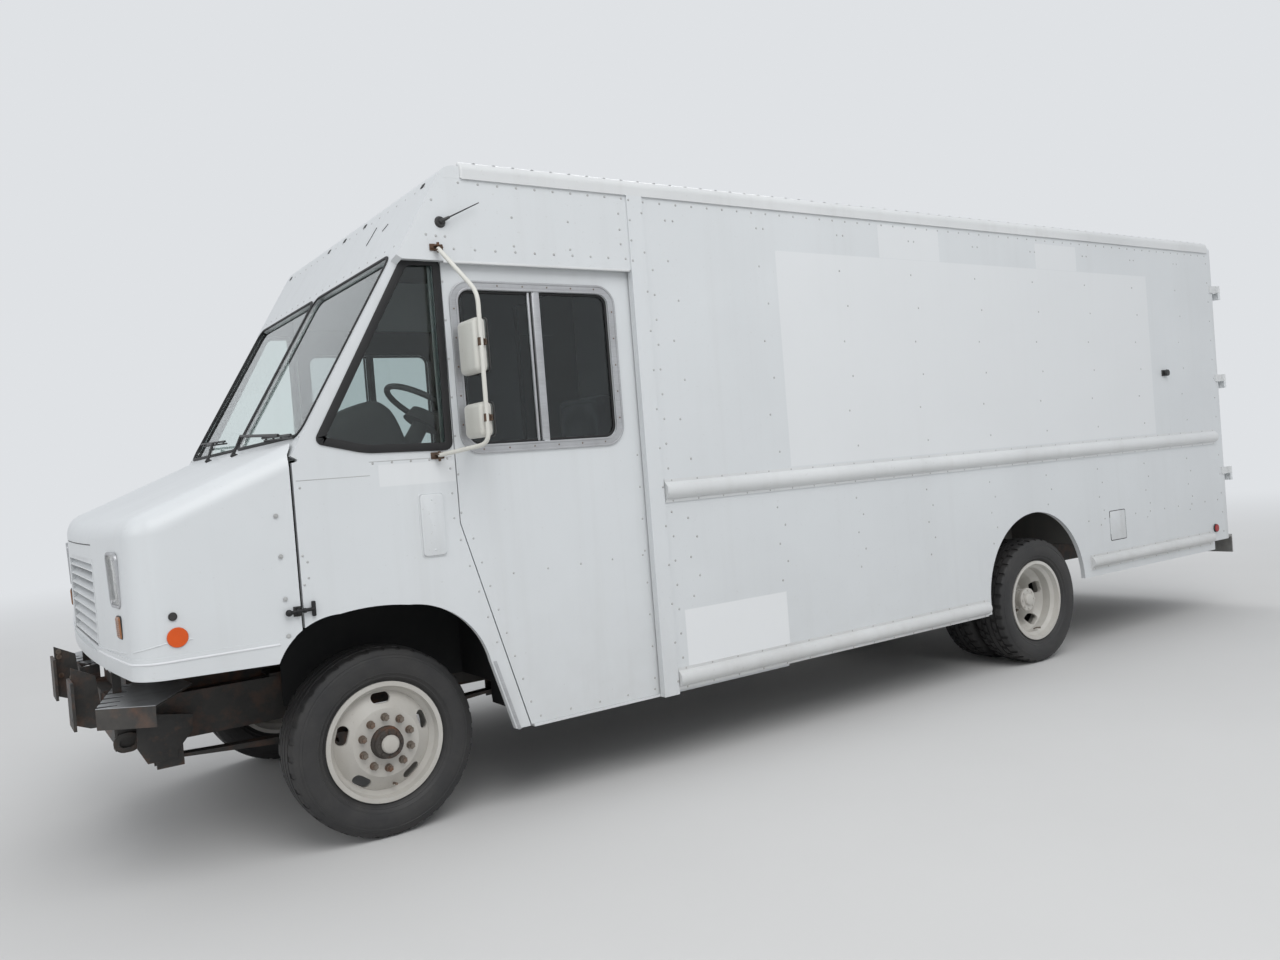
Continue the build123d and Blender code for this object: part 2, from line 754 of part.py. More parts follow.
# start, end, low edge and height of each rub rail
rub_rails = (
    (post_rear + 9, tail_station - 75, belt_low, belt_height),
    (1450, rear_arch_station - 564, 405, lower_rub_height),
    (rear_arch_station + 606, tail_station - 220, 555, lower_rub_height - 3),
)
flange_half = body_half + 6
flange_high = 14
with BuildPart() as rubs_left:
    for start, end, low, height in rub_rails:
        high = low + height
        with BuildSketch(Plane.YZ.offset(station(start))):
            with BuildLine():
                Polyline((-body_half, low), (-flange_half, low), (-flange_half, low + flange_high))
                ThreePointArc((-flange_half, low + flange_high), (-body_half - rub_depth, low + height / 2),
                              (-flange_half, high - flange_high))
                Polyline((-flange_half, high - flange_high), (-flange_half, high), (-body_half, high),
                         (-body_half, low))
            make_face()
        extrude(amount=end - start)
with BuildPart() as body_rails:
    add(rail_left.part)
    add(rubs_left.part)
    mirror(about=Plane.XZ)
save(body_rails.part, "body_rails")

# Cab side: the quarter behind the hood, with the wheel arch and the vent window
vent_front_low = (-235, 1757)
vent_front_high = (screen_station(header_bottom) + 60, header_bottom)
vent_rear = door_seam - 35
vent_low = 1703


def vent_opening():
    """Outline of the vent window."""
    with BuildSketch() as outline:
        with BuildLine():
            Polyline(at(*vent_front_low), at(*vent_front_high), at(vent_rear, vent_front_high[1]),
                     at(vent_rear, vent_low), at(-46, vent_low + 5), at(*vent_front_low))
        make_face()
    return outline.sketch


with BuildPart() as cab_side_left:
    with BuildSketch(side_plane(cab_half - wall_thick)):
        with BuildLine():
            Polyline(
                at(hood_gap_rear, 900), at(hood_gap_rear, 1668), on_screen(0, wall_thick),
                on_screen(slope_at(quarter_top, wall_thick), wall_thick), at(door_seam - running_gap, quarter_top),
                at(door_seam - running_gap, seam_bend), at(seam_foot - running_gap, door_bottom - 6),
                at(540, door_bottom - 6), at(hood_gap_rear, 900),
            )
        make_face()
    extrude(amount=wall_thick)
    with BuildSketch(side_plane(cab_half - wall_thick)):
        add(front_arch())
    extrude(amount=wall_thick, mode=Mode.SUBTRACT)
    with BuildSketch(side_plane(cab_half - wall_thick)):
        add(vent_opening())
    extrude(amount=wall_thick, mode=Mode.SUBTRACT)
save(cab_side_left.part, "cab_side_left")
save(mirrored(cab_side_left.part), "cab_side_right")

# Door frame: header over the door and the post behind it
with BuildPart() as door_frame:
    with BuildSketch(side_plane(cab_half + 10)):
        with BuildLine():
            Polyline(
                on_screen(slope_at(header_bottom, wall_thick), wall_thick),
                on_screen(slope_at(wall_top, wall_thick), wall_thick),
                at(post_front, wall_top), at(post_front, header_bottom),
                on_screen(slope_at(header_bottom, wall_thick), wall_thick),
            )
        make_face()
    extrude(amount=wall_thick)
    with BuildSketch(side_plane(cab_half)):
        with BuildLine():
            Polyline(
                on_screen(slope_at(header_bottom, wall_thick), wall_thick),
                on_screen(slope_at(quarter_top, wall_thick), wall_thick),
                at(door_seam - running_gap, quarter_top), at(door_seam - running_gap, header_bottom),
                on_screen(slope_at(header_bottom, wall_thick), wall_thick),
            )
        make_face()
    extrude(amount=10)
    box_between((post_front, post_rear), (-post_half, -cab_half - 10), (door_bottom - 12, wall_top))
    box_between((door_seam + 10, door_rear + door_travel), (-cab_half - 10, -cab_half + wall_thick),
                (door_top + seat_gap, door_top + 16))
    box_between((seam_foot + 10, door_rear + door_travel), (-cab_half - 10, -cab_half + wall_thick),
                (door_bottom - 12, door_bottom - seat_gap))
save(both_sides(door_frame.part), "door_frames")

# Front cap: the sloping panel round the windscreen, bent over into the roof
cap_bend = 90
cap_start = 10
cheek_low = wall_top + seat_gap
pane_high = slope_at(header_bottom) + pane_above_header
pane_size = (pane_outer - pane_inner, pane_high - pane_low)
pane_middle = ((pane_inner + pane_outer) / 2, (pane_low + pane_high) / 2)
screen_plane = Plane(
    origin=(station(screen_foot[0]), 0, screen_foot[1]),
    x_dir=(0, -1, 0),
    z_dir=(-sin(radians(screen_angle)), 0, cos(radians(screen_angle))),
)
with BuildPart() as front_cap:
    with BuildSketch(Plane.XZ.offset(body_half)):
        with BuildLine():
            top = slope_at(roof_top)
            FilletPolyline(on_screen(cap_start), on_screen(top), at(roof_start, roof_top), radius=cap_bend)
            Polyline(at(roof_start, roof_top), at(roof_start, roof_top - wall_thick))
            FilletPolyline(at(roof_start, roof_top - wall_thick),
                           on_screen(slope_at(roof_top - wall_thick, wall_thick), wall_thick),
                           on_screen(cap_start, wall_thick), radius=cap_bend - wall_thick)
            Line(on_screen(cap_start, wall_thick), on_screen(cap_start))
        make_face()
    extrude(amount=-2 * body_half)
    for start in (body_half, -rail_inner_half):
        with BuildSketch(Plane.XZ.offset(start)):
            with BuildLine():
                FilletPolyline(on_screen(slope_at(cheek_low)), on_screen(top), at(roof_start, roof_top),
                               radius=cap_bend)
                Polyline(at(roof_start, roof_top), at(roof_start, cheek_low), on_screen(slope_at(cheek_low)))
            make_face()
        extrude(amount=rail_inner_half - body_half)
    flare_low = slope_at(header_bottom) - 6
    flare_high = flare_low + 26
    for side in (-1, 1):
        with BuildSketch(screen_plane.offset(40)):
            with BuildLine():
                Polyline((side * cab_half, -200), (side * cab_half, flare_low), (side * (body_half + 1), flare_high),
                         (side * (body_half + 1), -200), (side * cab_half, -200))
            make_face()
        extrude(amount=-200, mode=Mode.SUBTRACT)
    with BuildSketch(screen_plane.offset(40)):
        for side in (-1, 1):
            with Locations((side * pane_middle[0], pane_middle[1])):
                RectangleRounded(*pane_size, pane_corner)
    extrude(amount=-120, mode=Mode.SUBTRACT)
save(front_cap.part, "front_cap")

# Glass of the windscreen and the vent windows, each pane just clear of its opening
glass_thick = 6
glass_depth = 12
with BuildPart() as cab_glass:
    with BuildSketch(screen_plane.offset(-glass_depth)):
        for side in (-1, 1):
            with Locations((side * pane_middle[0], pane_middle[1])):
                RectangleRounded(pane_size[0] - 2 * seat_gap, pane_size[1] - 2 * seat_gap, pane_corner - seat_gap)
    extrude(amount=-glass_thick)
    with BuildSketch(side_plane(cab_half - glass_depth - glass_thick)) as vent_pane:
        add(vent_opening())
        offset(amount=-seat_gap, mode=Mode.REPLACE)
    extrude(amount=glass_thick)
    with BuildSketch(Plane.XZ.offset(-cab_half + glass_depth + glass_thick)):
        add(vent_pane.sketch_local)
    extrude(amount=-glass_thick)
save(cab_glass.part, "cab_glass")

# Cab door: a slab behind the header, its front edge slanting to the wheel arch
with BuildPart() as cab_door_left:
    with BuildSketch(side_plane(cab_half - wall_thick)):
        with BuildLine():
            Polyline(
                at(door_seam, door_top), at(door_rear, door_top), at(door_rear, door_bottom),
                at(seam_foot, door_bottom), at(door_seam, seam_bend), at(door_seam, door_top),
            )
        make_face()
    extrude(amount=wall_thick)
    with BuildSketch(side_plane(cab_half - wall_thick)):
        with Locations(at(window_middle, (window_low + window_high) / 2)):
            RectangleRounded(window_width, window_height, window_corner)
    extrude(amount=wall_thick, mode=Mode.SUBTRACT)
    with BuildSketch(side_plane(cab_half)):
        with Locations(at(window_middle, (window_low + window_high) / 2)):
            RectangleRounded(window_width + 2 * frame_border, window_height + 2 * frame_border,
                             window_corner + frame_border)
            RectangleRounded(window_width, window_height, window_corner, mode=Mode.SUBTRACT)
    extrude(amount=frame_proud)
    with BuildSketch(side_plane(cab_half - glass_depth)):
        with Locations(at(window_middle + 5, (window_low + window_high) / 2)):
            Rectangle(mullion_width, window_height + 2)
    extrude(amount=glass_depth + frame_proud)
save(cab_door_left.part, "cab_door_left")
save(mirrored(cab_door_left.part), "cab_door_right")

with BuildPart() as door_glass_left:
    with BuildSketch(side_plane(cab_half - glass_depth - seat_gap - glass_thick)):
        with Locations(at(window_middle, (window_low + window_high) / 2)):
            RectangleRounded(window_width - 2 * seat_gap, window_height - 2 * seat_gap, window_corner - seat_gap)
    extrude(amount=glass_thick)
save(door_glass_left.part, "door_glass_left")
save(mirrored(door_glass_left.part), "door_glass_right")

# Rear frame, doors and step
opening_half = body_half - 94
with BuildPart() as rear_frame:
    box_between((tail_station, tail_station + tail_thick), (-body_half, body_half), (tail_bottom, roof_top))
    box_between((tail_station - 1, tail_station + tail_thick + 1), (-opening_half, opening_half),
                (floor_top, rear_door_high - 40), mode=Mode.SUBTRACT)
    corners = rear_frame.edges().filter_by(Axis.X).group_by(Axis.Z)[-1]
    fillet(corners, 40)
save(rear_frame.part, "rear_frame")

door_plane = tail_station + tail_thick + running_gap
hinge_radius = 11
hinge_heights = (1100, 1850, rear_door_high - 95)
leaf_proud = 8
hinge_length = 110
with BuildPart() as rear_door_left:
    box_between((door_plane, door_plane + rear_door_thick), (-cab_half, -5), (rear_door_low, rear_door_high))
    for height in hinge_heights:
        box_between((door_plane + rear_door_thick, door_plane + rear_door_thick + leaf_proud),
                    (-cab_half, -cab_half + 120), (height - hinge_length / 2, height + hinge_length / 2))
        box_between((door_plane + rear_door_thick, rear_hinge_station + 4),
                    (-cab_half - 10, -cab_half + 6), (height - hinge_length / 2, height + hinge_length / 2))
        box_between((rear_hinge_station - 4, rear_hinge_station + 4), (-rear_hinge_half, -cab_half),
                    (height - hinge_length / 2, height))
        with BuildSketch(Plane.XY.offset(height - hinge_length / 2)):
            with Locations((station(rear_hinge_station), -rear_hinge_half)):
                Circle(hinge_radius)
        extrude(amount=hinge_length / 2)
    with Locations((station(door_plane + rear_door_thick + 12), -90, 1210)):
        Box(24, 110, 70)
save(rear_door_left.part, "rear_door_left")
save(mirrored(rear_door_left.part), "rear_door_right")

with BuildPart() as hinges_left:
    for height in hinge_heights:
        box_between((tail_station, rear_hinge_station - 16), (-body_half - leaf_proud, -body_half),
                    (height, height + hinge_length / 2))
        box_between((rear_hinge_station - 30, rear_hinge_station), (-rear_hinge_half - 3, -rear_hinge_half + 5),
                    (height + 1, height + hinge_length / 2))
        with BuildSketch(Plane.XY.offset(height + 0.5)):
            with Locations((station(rear_hinge_station), -rear_hinge_half)):
                Circle(hinge_radius)
        extrude(amount=hinge_length / 2)
        box_between((rear_hinge_station - 30, rear_hinge_station - 16), (-rear_hinge_half - 3, -body_half),
                    (height + 1, height + hinge_length / 2))
save(both_sides(hinges_left.part), "rear_hinges")

step_half = opening_half - 6
step_high = 580
step_thick = 20
with BuildPart() as rear_step:
    box_between((tail_station + 60, rear_end), (-step_half, step_half), (step_high - step_thick, step_high))
    box_between((rear_end - skin_thick, rear_end), (-step_half, step_half), (430, step_high - step_thick + 2))
    for side in (-1, 1):
        middle = side * (rail_half - 50)
        box_between((rail_rear, rear_end - skin_thick), (middle - 6, middle + 6), (500, step_high - step_thick + 2))
save(rear_step.part, "rear_step")


# Hood
lamp_station = -1010
lamp_half = cab_half - 255
lamp_height = 1263
lamp_turn = 10
lamp_depth = 50
headlamp_size = (165, 212, 30)
turn_lamp_size = (70, 72, 12)
turn_lamp_low = -190


def lamp_plane(side):
    """The slightly outturned plane of a headlamp on the nose."""
    turn = radians(lamp_turn)
    return Plane(
        origin=(station(lamp_station), side * lamp_half, lamp_height),
        x_dir=(side * sin(turn), cos(turn), 0),
        z_dir=(-cos(turn), side * sin(turn), 0),
    )


def nose_lamps(clearance, width, height, corner, low):
    """A pair of upright rounded blocks set into the nose, with a clearance round them."""
    with BuildPart() as pair:
        for side in (-1, 1):
            with BuildSketch(lamp_plane(side).offset(-lamp_depth)):
                with Locations((0, low)):
                    RectangleRounded(width + 2 * clearance, height + 2 * clearance, corner + clearance)
            extrude(amount=lamp_depth)
    return pair.part


def hood_top(place):
    """Height of the hood's flat top at a station."""
    slope = (hood_top_rear - hood_top_front) / (hood_top_rear_station - nose_edge_station)
    return hood_top_rear + slope * (place - hood_top_rear_station)


def hood_form(inset):
    """The hood's outer form, or the hollow inside it when inset by the skin."""
    half = cab_half - inset
    rear, front = -290, -1200
    with BuildPart() as form:
        with BuildSketch(Plane.XY.offset(600)):
            with BuildLine():
                ThreePointArc((station(nose_edge_station + inset), -half), (station(nose_station + inset), 0),
                              (station(nose_edge_station + inset), half))
                Polyline((station(nose_edge_station + inset), half), (station(rear), half), (station(rear), -half),
                         (station(nose_edge_station + inset), -half))
            make_face()
            fillet(vertices().group_by(Axis.X)[0], nose_corner_radius - inset)
        extrude(amount=1400)
        with BuildSketch(Plane.XZ.offset(half + 10)):
            with BuildLine():
                Polyline(at(rear + 10, 500), at(rear + 10, hood_top(rear + 10) - inset),
                         at(front, hood_top(front) - inset), at(front, 500), at(rear + 10, 500))
            make_face()
        extrude(amount=-2 * (half + 10), mode=Mode.INTERSECT)
        top_face = form.faces().sort_by(Axis.Z)[-1]
        top_edges = top_face.edges().sort_by(Axis.X)[:-1]
        fillet(top_edges, hood_shoulder_radius - inset)
    return form.part


lip_proud = 4
lip_top = 968
with BuildPart() as hood_lip:
    add(hood_form(-lip_proud))
    box_between((-1200, -200), (-1300, 1300), (lip_top, 2200), mode=Mode.SUBTRACT)

with BuildPart() as hood:
    add(hood_form(0))
    add(hood_lip.part)
    add(hood_form(hood_skin), mode=Mode.SUBTRACT)
    with BuildSketch(Plane.XZ.offset(1300)):
        with BuildLine():
            Polyline(
                at(-1200, 889), at(-470, 870), at(hood_gap_front, 985), at(hood_gap_front, 1690),
                on_screen(slope_at(1705, -hood_screen_gap), -hood_screen_gap),
                on_screen(slope_at(1900, -hood_screen_gap), -hood_screen_gap), at(-1200, 1900), at(-1200, 889),
            )
        make_face()
    extrude(amount=-2600, mode=Mode.INTERSECT)
    with BuildSketch(Plane.XZ.offset(1300)):
        add(front_arch())
    extrude(amount=-2600, mode=Mode.SUBTRACT)
    box_between((-1100, -980), (-grille_half, grille_half), (grille_low, grille_high), mode=Mode.SUBTRACT)
    add(nose_lamps(seat_gap, *headlamp_size, 0), mode=Mode.SUBTRACT)
    add(nose_lamps(seat_gap, *turn_lamp_size, turn_lamp_low), mode=Mode.SUBTRACT)
    for side in (-1, 1):
        box_between((hood_pivot_station - 24, hood_pivot_station + 16),
                    (side * hood_lug_half - 6, side * hood_lug_half + 6), (hood_pivot_height, 930))
        with BuildSketch(Plane.XZ.offset(-side * hood_lug_half - 10)):
            with Locations(at(hood_pivot_station, hood_pivot_height)):
                Circle(16)
        extrude(amount=20)
        with BuildSketch(Plane.XZ.offset(-side * hood_lug_half - 10)):
            with Locations(at(hood_pivot_station, hood_pivot_height)):
                Circle(hood_pin_radius + 0.05)
        extrude(amount=20, mode=Mode.SUBTRACT)
save(hood.part, "hood")

save(nose_lamps(0, *headlamp_size, 0), "headlamps")
with BuildPart() as turn_lamps:
    add(nose_lamps(0, *turn_lamp_size, turn_lamp_low))
    for side in (-1, 1):
        for place, height, radius, proud in ((-834, 1036, 40, 5), (-845, 1117, 14, 12)):
            with BuildSketch(Plane.XZ.offset(-side * (cab_half + seat_gap))):
                with Locations(at(place, height)):
                    Circle(radius)
            extrude(amount=-side * proud)
save(turn_lamps.part, "turn_lamps")

slat_count = 8
grille_border = 22
grille_front = -1034
grille_rear = -1000
with BuildPart() as grille:
    box_between((grille_front, grille_rear), (-grille_half + seat_gap, grille_half - seat_gap),
                (grille_low + seat_gap, grille_high - seat_gap))
    box_between((grille_front - 1, grille_rear + 1), (-grille_half + grille_border, grille_half - grille_border),
                (grille_low + grille_border, grille_high - grille_border), mode=Mode.SUBTRACT)
    pitch = (grille_high - grille_low - 2 * grille_border) / slat_count
    slat_half = grille_half - grille_border + 1
    for row in range(slat_count):
        low = grille_low + grille_border + (row + 0.2) * pitch
        with BuildSketch(Plane.XZ.offset(slat_half)):
            with BuildLine():
                Polyline(at(grille_front + 3, low + 7), at(grille_front + 3, low), at(grille_rear - 4, low + 19),
                         at(grille_rear - 4, low + 26), at(grille_front + 3, low + 7))
            make_face()
        extrude(amount=-2 * slat_half)
save(grille.part, "grille")


# Inside the cab
wheel_tilt = 45
column_radius = 26
steering_centre = (station(610), -520, 1630)
steering_plane = Plane(
    origin=steering_centre, x_dir=(0, 1, 0), z_dir=(sin(radians(wheel_tilt)), 0, cos(radians(wheel_tilt)))
)
rim_section_plane = Plane(
    origin=steering_centre, x_dir=(0, 1, 0), z_dir=(-cos(radians(wheel_tilt)), 0, sin(radians(wheel_tilt)))
)

firewall_corner = on_screen(cap_start, wall_thick)
firewall_front = firewall_corner[0] + mid_station
firewall_rear = cab_floor_front
firewall_top = firewall_corner[1] - seat_gap
with BuildPart() as firewall:
    box_between((firewall_front, firewall_rear), (-floor_pocket_half, floor_pocket_half),
                (housing_top + skin_thick, firewall_top))
    box_between((firewall_front, firewall_rear), (-housing_inner + skin_thick, housing_inner - skin_thick),
                (floor_top, housing_top + skin_thick))
    box_between((firewall_front - 1, firewall_rear + 1), (-350, 350), (floor_top - 1, 1500), mode=Mode.SUBTRACT)
save(firewall.part, "firewall")

with BuildPart() as dashboard:
    with BuildSketch(Plane.XZ.offset(floor_pocket_half)):
        with BuildLine():
            front = firewall_rear + seat_gap
            Polyline(at(front, 1400), at(front, 1668), at(-150, 1640), at(190, 1560), at(230, 1500),
                     at(180, 1330), at(-100, 1250), at(front, 1400))
        make_face()
    extrude(amount=-2 * floor_pocket_half)
    with BuildSketch(Plane.XZ.offset(780)):
        with BuildLine():
            Polyline(at(100, 1540), at(180, 1640), at(380, 1640), at(440, 1570), at(400, 1420), at(100, 1420),
                     at(100, 1540))
        make_face()
    extrude(amount=-460)
    with BuildSketch(steering_plane.offset(-520)):
        Circle(column_radius + seat_gap)
    extrude(amount=520, mode=Mode.SUBTRACT)
save(dashboard.part, "dashboard")

with BuildPart() as engine_cover:
    box_between((firewall_rear, cover_rear), (-cover_half + seat_gap, cover_half - seat_gap),
                (floor_top - 20, cover_top))
    box_between((firewall_rear - 1, cover_rear - skin_thick), (-cover_half + skin_thick, cover_half - skin_thick),
                (floor_top - 21, cover_top - skin_thick), mode=Mode.SUBTRACT)
save(engine_cover.part, "engine_cover")

seat_centre = -540
with BuildPart() as driver_seat:
    with BuildSketch(Plane.XZ.offset(-seat_centre - 230)):
        with Locations(at(1220, 1190)):
            RectangleRounded(480, 120, 40)
        with Locations(at(1425, 1560)):
            RectangleRounded(110, 800, 40)
    extrude(amount=460)
    box_between((1120, 1320), (seat_centre - 120, seat_centre + 120), (floor_top, 1135))
save(driver_seat.part, "driver_seat")

with BuildPart() as steering_wheel:
    with BuildSketch(rim_section_plane):
        with Locations((215, 0)):
            Circle(14)
    revolve(axis=Axis(steering_centre, tuple(steering_plane.z_dir)))
    with BuildSketch(steering_plane.offset(-10)):
        Circle(50)
        with PolarLocations(110, 3, start_angle=90):
            Rectangle(220, 30)
    extrude(amount=20)
    with BuildSketch(steering_plane.offset(-500)):
        Circle(column_radius)
    extrude(amount=495)
save(steering_wheel.part, "steering_wheel")

with BuildPart() as bulkhead:
    box_between((bulkhead_station, bulkhead_rear), (-floor_pocket_half, floor_pocket_half),
                (floor_top, roof_top - roof_depth - 5))
    box_between((bulkhead_station - 1, bulkhead_rear + 1), (-360, 360), (floor_top - 1, roof_top - 340),
                mode=Mode.SUBTRACT)
save(bulkhead.part, "bulkhead")

# Mirrors, wipers and tail lamps
tube_radius = 10
mirror_reach = body_half + 120
mirror_high = header_bottom + 47
mirror_front = door_seam - 30
with BuildPart() as mirror_left:
    with BuildLine() as tube_path:
        FilletPolyline(
            (station(mirror_front), -body_half - 22, mirror_high),
            (station(mirror_front + 122), -mirror_reach, mirror_high - 204),
            (station(450), -mirror_reach, 1695), (station(274), -cab_half - 22, 1661), radius=60,
        )
    with BuildSketch(Plane(origin=tube_path.line @ 0, z_dir=tube_path.line % 0)):
        Circle(tube_radius)
    sweep()
    box_between((345, 415), (-mirror_reach - 105, -mirror_reach + 95), (1990, 2255))
    fillet(mirror_left.edges().filter_by(Axis.X), 25)
    box_between((345, 415), (-mirror_reach - 95, -mirror_reach + 85), (1745, 1880))
    for height in (2120, 1812):
        box_between((410, 460), (-mirror_reach - 20, -mirror_reach + 20), (height - 20, height + 20))
    box_between((mirror_front - 20, mirror_front + 20), (-body_half - 34, -body_half - seat_gap),
                (mirror_high - 12, mirror_high + 28))
    box_between((254, 294), (-cab_half - 34, -cab_half - seat_gap), (1641, 1681))
save(both_sides(mirror_left.part), "mirrors")

wiper_pivot_radius = 16
wiper_width = 10
# pivot, elbow and tip of each arm, then the ends of its blade, across and up the windscreen
wiper_places = (
    ((165, 112), (190, 165), (810, 134), (560, 148), (1050, 132)),
    ((-430, 112), (-450, 160), (-630, 190), (-300, 180), (-960, 205)),
)


def screen_bar(start, end, width):
    """Face of a straight bar between two places on the windscreen's plane."""
    first, last = Vector(*start), Vector(*end)
    across = (last - first).normalized().rotate(Axis.Z, 90) * (width / 2)
    with BuildSketch() as bar:
        with BuildLine():
            Polyline(first + across, last + across, last - across, first - across, first + across)
        make_face()
    return bar.sketch


with BuildPart() as wipers:
    for pivot, elbow, tip, blade_start, blade_end in wiper_places:
        with BuildSketch(screen_plane.offset(seat_gap)):
            with Locations(pivot):
                Circle(wiper_pivot_radius)
        extrude(amount=24)
        with BuildSketch(screen_plane.offset(12)):
            add(screen_bar(pivot, elbow, wiper_width))
            add(screen_bar(elbow, tip, wiper_width))
            with Locations(elbow):
                Circle(wiper_width / 2)
        extrude(amount=10)
        with BuildSketch(screen_plane.offset(-glass_depth + seat_gap)):
            add(screen_bar(blade_start, blade_end, wiper_width))
        extrude(amount=26)
save(wipers.part, "wipers")

with BuildPart() as tail_lamps:
    for side in (-1, 1):
        for height in (660, roof_top - 180):
            with BuildSketch(Plane.YZ.offset(station(tail_station + tail_thick + seat_gap))):
                with Locations((side * (cab_half - 10), height)):
                    Circle(38)
            extrude(amount=22)
        with BuildSketch(Plane.XZ.offset(-side * (body_half + seat_gap))):
            with Locations(at(tail_station - 154, 677)):
                Circle(30)
        extrude(amount=-side * 14)
save(tail_lamps.part, "tail_lamps")
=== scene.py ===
"""Finish of a walk-in delivery truck: materials, tyres, rivets, seals, lamps and fittings.

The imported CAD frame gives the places. Forward is -X, up is +Z, the driver's side faces -Y
and the unit is the metre. A station is a distance behind the front axle, a half is a
distance from the centre plane, and a height is above the ground.
"""

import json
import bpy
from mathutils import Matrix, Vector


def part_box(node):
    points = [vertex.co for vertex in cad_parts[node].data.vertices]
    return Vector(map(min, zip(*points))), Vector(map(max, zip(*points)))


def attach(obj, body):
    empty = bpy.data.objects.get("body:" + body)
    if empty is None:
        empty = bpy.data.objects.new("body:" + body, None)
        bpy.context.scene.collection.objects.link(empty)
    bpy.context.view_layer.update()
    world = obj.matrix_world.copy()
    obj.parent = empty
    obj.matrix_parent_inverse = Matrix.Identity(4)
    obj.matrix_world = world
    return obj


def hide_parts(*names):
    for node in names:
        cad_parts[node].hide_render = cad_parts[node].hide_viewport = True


bl_info = {
    "name": "Walk-in Delivery Truck Finish",
    "version": (1, 0, 0),
    "blender": (4, 5, 0),
    "location": "3D View > Sidebar > Truck",
    "description": "Dresses the CAD frame of a walk-in delivery truck with its details and finishes",
    "category": "Object",
}

from math import atan2, cos, hypot, pi, radians, sin, sqrt, tau

import bmesh
import bpy
import numpy as np
from bpy.props import FloatProperty, FloatVectorProperty, IntProperty, PointerProperty
from mathutils import Matrix, Vector
from mathutils.bvhtree import BVHTree

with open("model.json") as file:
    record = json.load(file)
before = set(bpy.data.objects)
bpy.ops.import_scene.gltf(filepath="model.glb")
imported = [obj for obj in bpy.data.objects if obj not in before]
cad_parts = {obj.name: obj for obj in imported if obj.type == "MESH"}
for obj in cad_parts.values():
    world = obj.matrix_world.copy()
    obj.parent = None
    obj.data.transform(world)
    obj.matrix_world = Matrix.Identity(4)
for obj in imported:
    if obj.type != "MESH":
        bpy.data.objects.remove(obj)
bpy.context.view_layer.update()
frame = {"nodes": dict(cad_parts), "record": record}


def middle(node):
    """Middle of a CAD node's box."""
    low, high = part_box(node)
    return (low + high) / 2


# Places read from the frame or measured on it: halves are distances from the centre plane
FRONT_WHEEL = middle("tyre_front_left")
REAR_WHEEL = middle("tyre_rear_left")
TYRE_RADIUS = FRONT_WHEEL.z
BODY_HALF = 1.190
CAB_HALF = 1.150
TWIN_HALVES = (1.036, 0.756)
RAIL_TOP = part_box("body_rails")[1].z
TAIL_FACE = 7.036
DOOR_FACE = 7.076
SIDES = ((-1, "left"), (1, "right"))
# The cab door's front edge runs back below its knee, by this much for each unit down
KNEE_HEIGHT, KNEE_SLOPE = 1.33, 0.284

# The windscreen's slope, from its foot on the centre plane
SCREEN_ANGLE = radians(59)
SCREEN_FOOT = (-0.362, 1.688)


def at(station, across, height):
    """A point by its distance behind the front axle, across and above the ground."""
    return Vector((FRONT_WHEEL.x + station, across, height))


def on_side(side, half):
    """Places points by station, height and distance out of a body side."""
    return lambda station, height, out=0.0: at(station, side * (half + out), height)


def on_screen(across, up, out=0.0):
    """A point by its distance across and up the windscreen's slope, and out of it."""
    station = SCREEN_FOOT[0] + up * cos(SCREEN_ANGLE) - out * sin(SCREEN_ANGLE)
    return at(station, across, SCREEN_FOOT[1] + up * sin(SCREEN_ANGLE) + out * cos(SCREEN_ANGLE))


def on_roof_rail(station, across, up=0.0):
    """A point on the roof rail's upper flange."""
    return at(station, across, RAIL_TOP - 0.0038 + up)


def on_tail(across, height, out=0.0):
    """A point on the back of the body."""
    return at(TAIL_FACE + out, across, height)


def on_back_door(across, height, out=0.0):
    """A point on the outside of the rear doors."""
    return at(DOOR_FACE + out, across, height)


def shifted(place, out):
    """The same places, moved out of their face."""
    return lambda u, v, w=0.0: place(u, v, w + out)


# The share of a sheet's thickness by which its upper edges are eased
EDGE_CROWN = 0.35


# Mesh helpers
def link(name, data):
    """An object of a datablock, in the scene."""
    made = bpy.data.objects.new(name, data)
    bpy.context.scene.collection.objects.link(made)
    return made


def add_piece(name, bm, finish, body="chassis", replaces=(), smooth=35.0):
    """Makes an object of a bmesh, gives it its finish and lets it ride on a CAD body."""
    bmesh.ops.recalc_face_normals(bm, faces=bm.faces)
    for face in bm.faces:
        face.smooth = True
    for edge in bm.edges:
        edge.smooth = edge.calc_face_angle(pi) < radians(smooth)
    mesh = bpy.data.meshes.new(name)
    bm.to_mesh(mesh)
    bm.free()
    mesh.materials.append(finishes[finish])
    piece = link(name, mesh)
    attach(piece, body)
    if replaces:
        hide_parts(*replaces)
    return piece


def both_sides(bm):
    """Adds the mirror image of everything on the passenger's side."""
    copied = bmesh.ops.duplicate(bm, geom=bm.verts[:] + bm.edges[:] + bm.faces[:])["geom"]
    bmesh.ops.scale(bm, vec=(1, -1, 1), verts=only(bmesh.types.BMVert, copied))
    return bm


def only(kind, made):
    """The parts of one kind among what an operation made."""
    return [part for part in made if isinstance(part, kind)]


def round_off(bm, geom, radius, affect, segments):
    """Rounds edges or corners."""
    return bmesh.ops.bevel(bm, geom=geom, offset=radius, offset_type="OFFSET", affect=affect,
                           segments=segments, profile=0.5, material=-1)


def aim(place, way):
    """A matrix at a place with its Z along a way."""
    return Matrix.Translation(place) @ way.to_track_quat("Z", "Y").to_matrix().to_4x4()


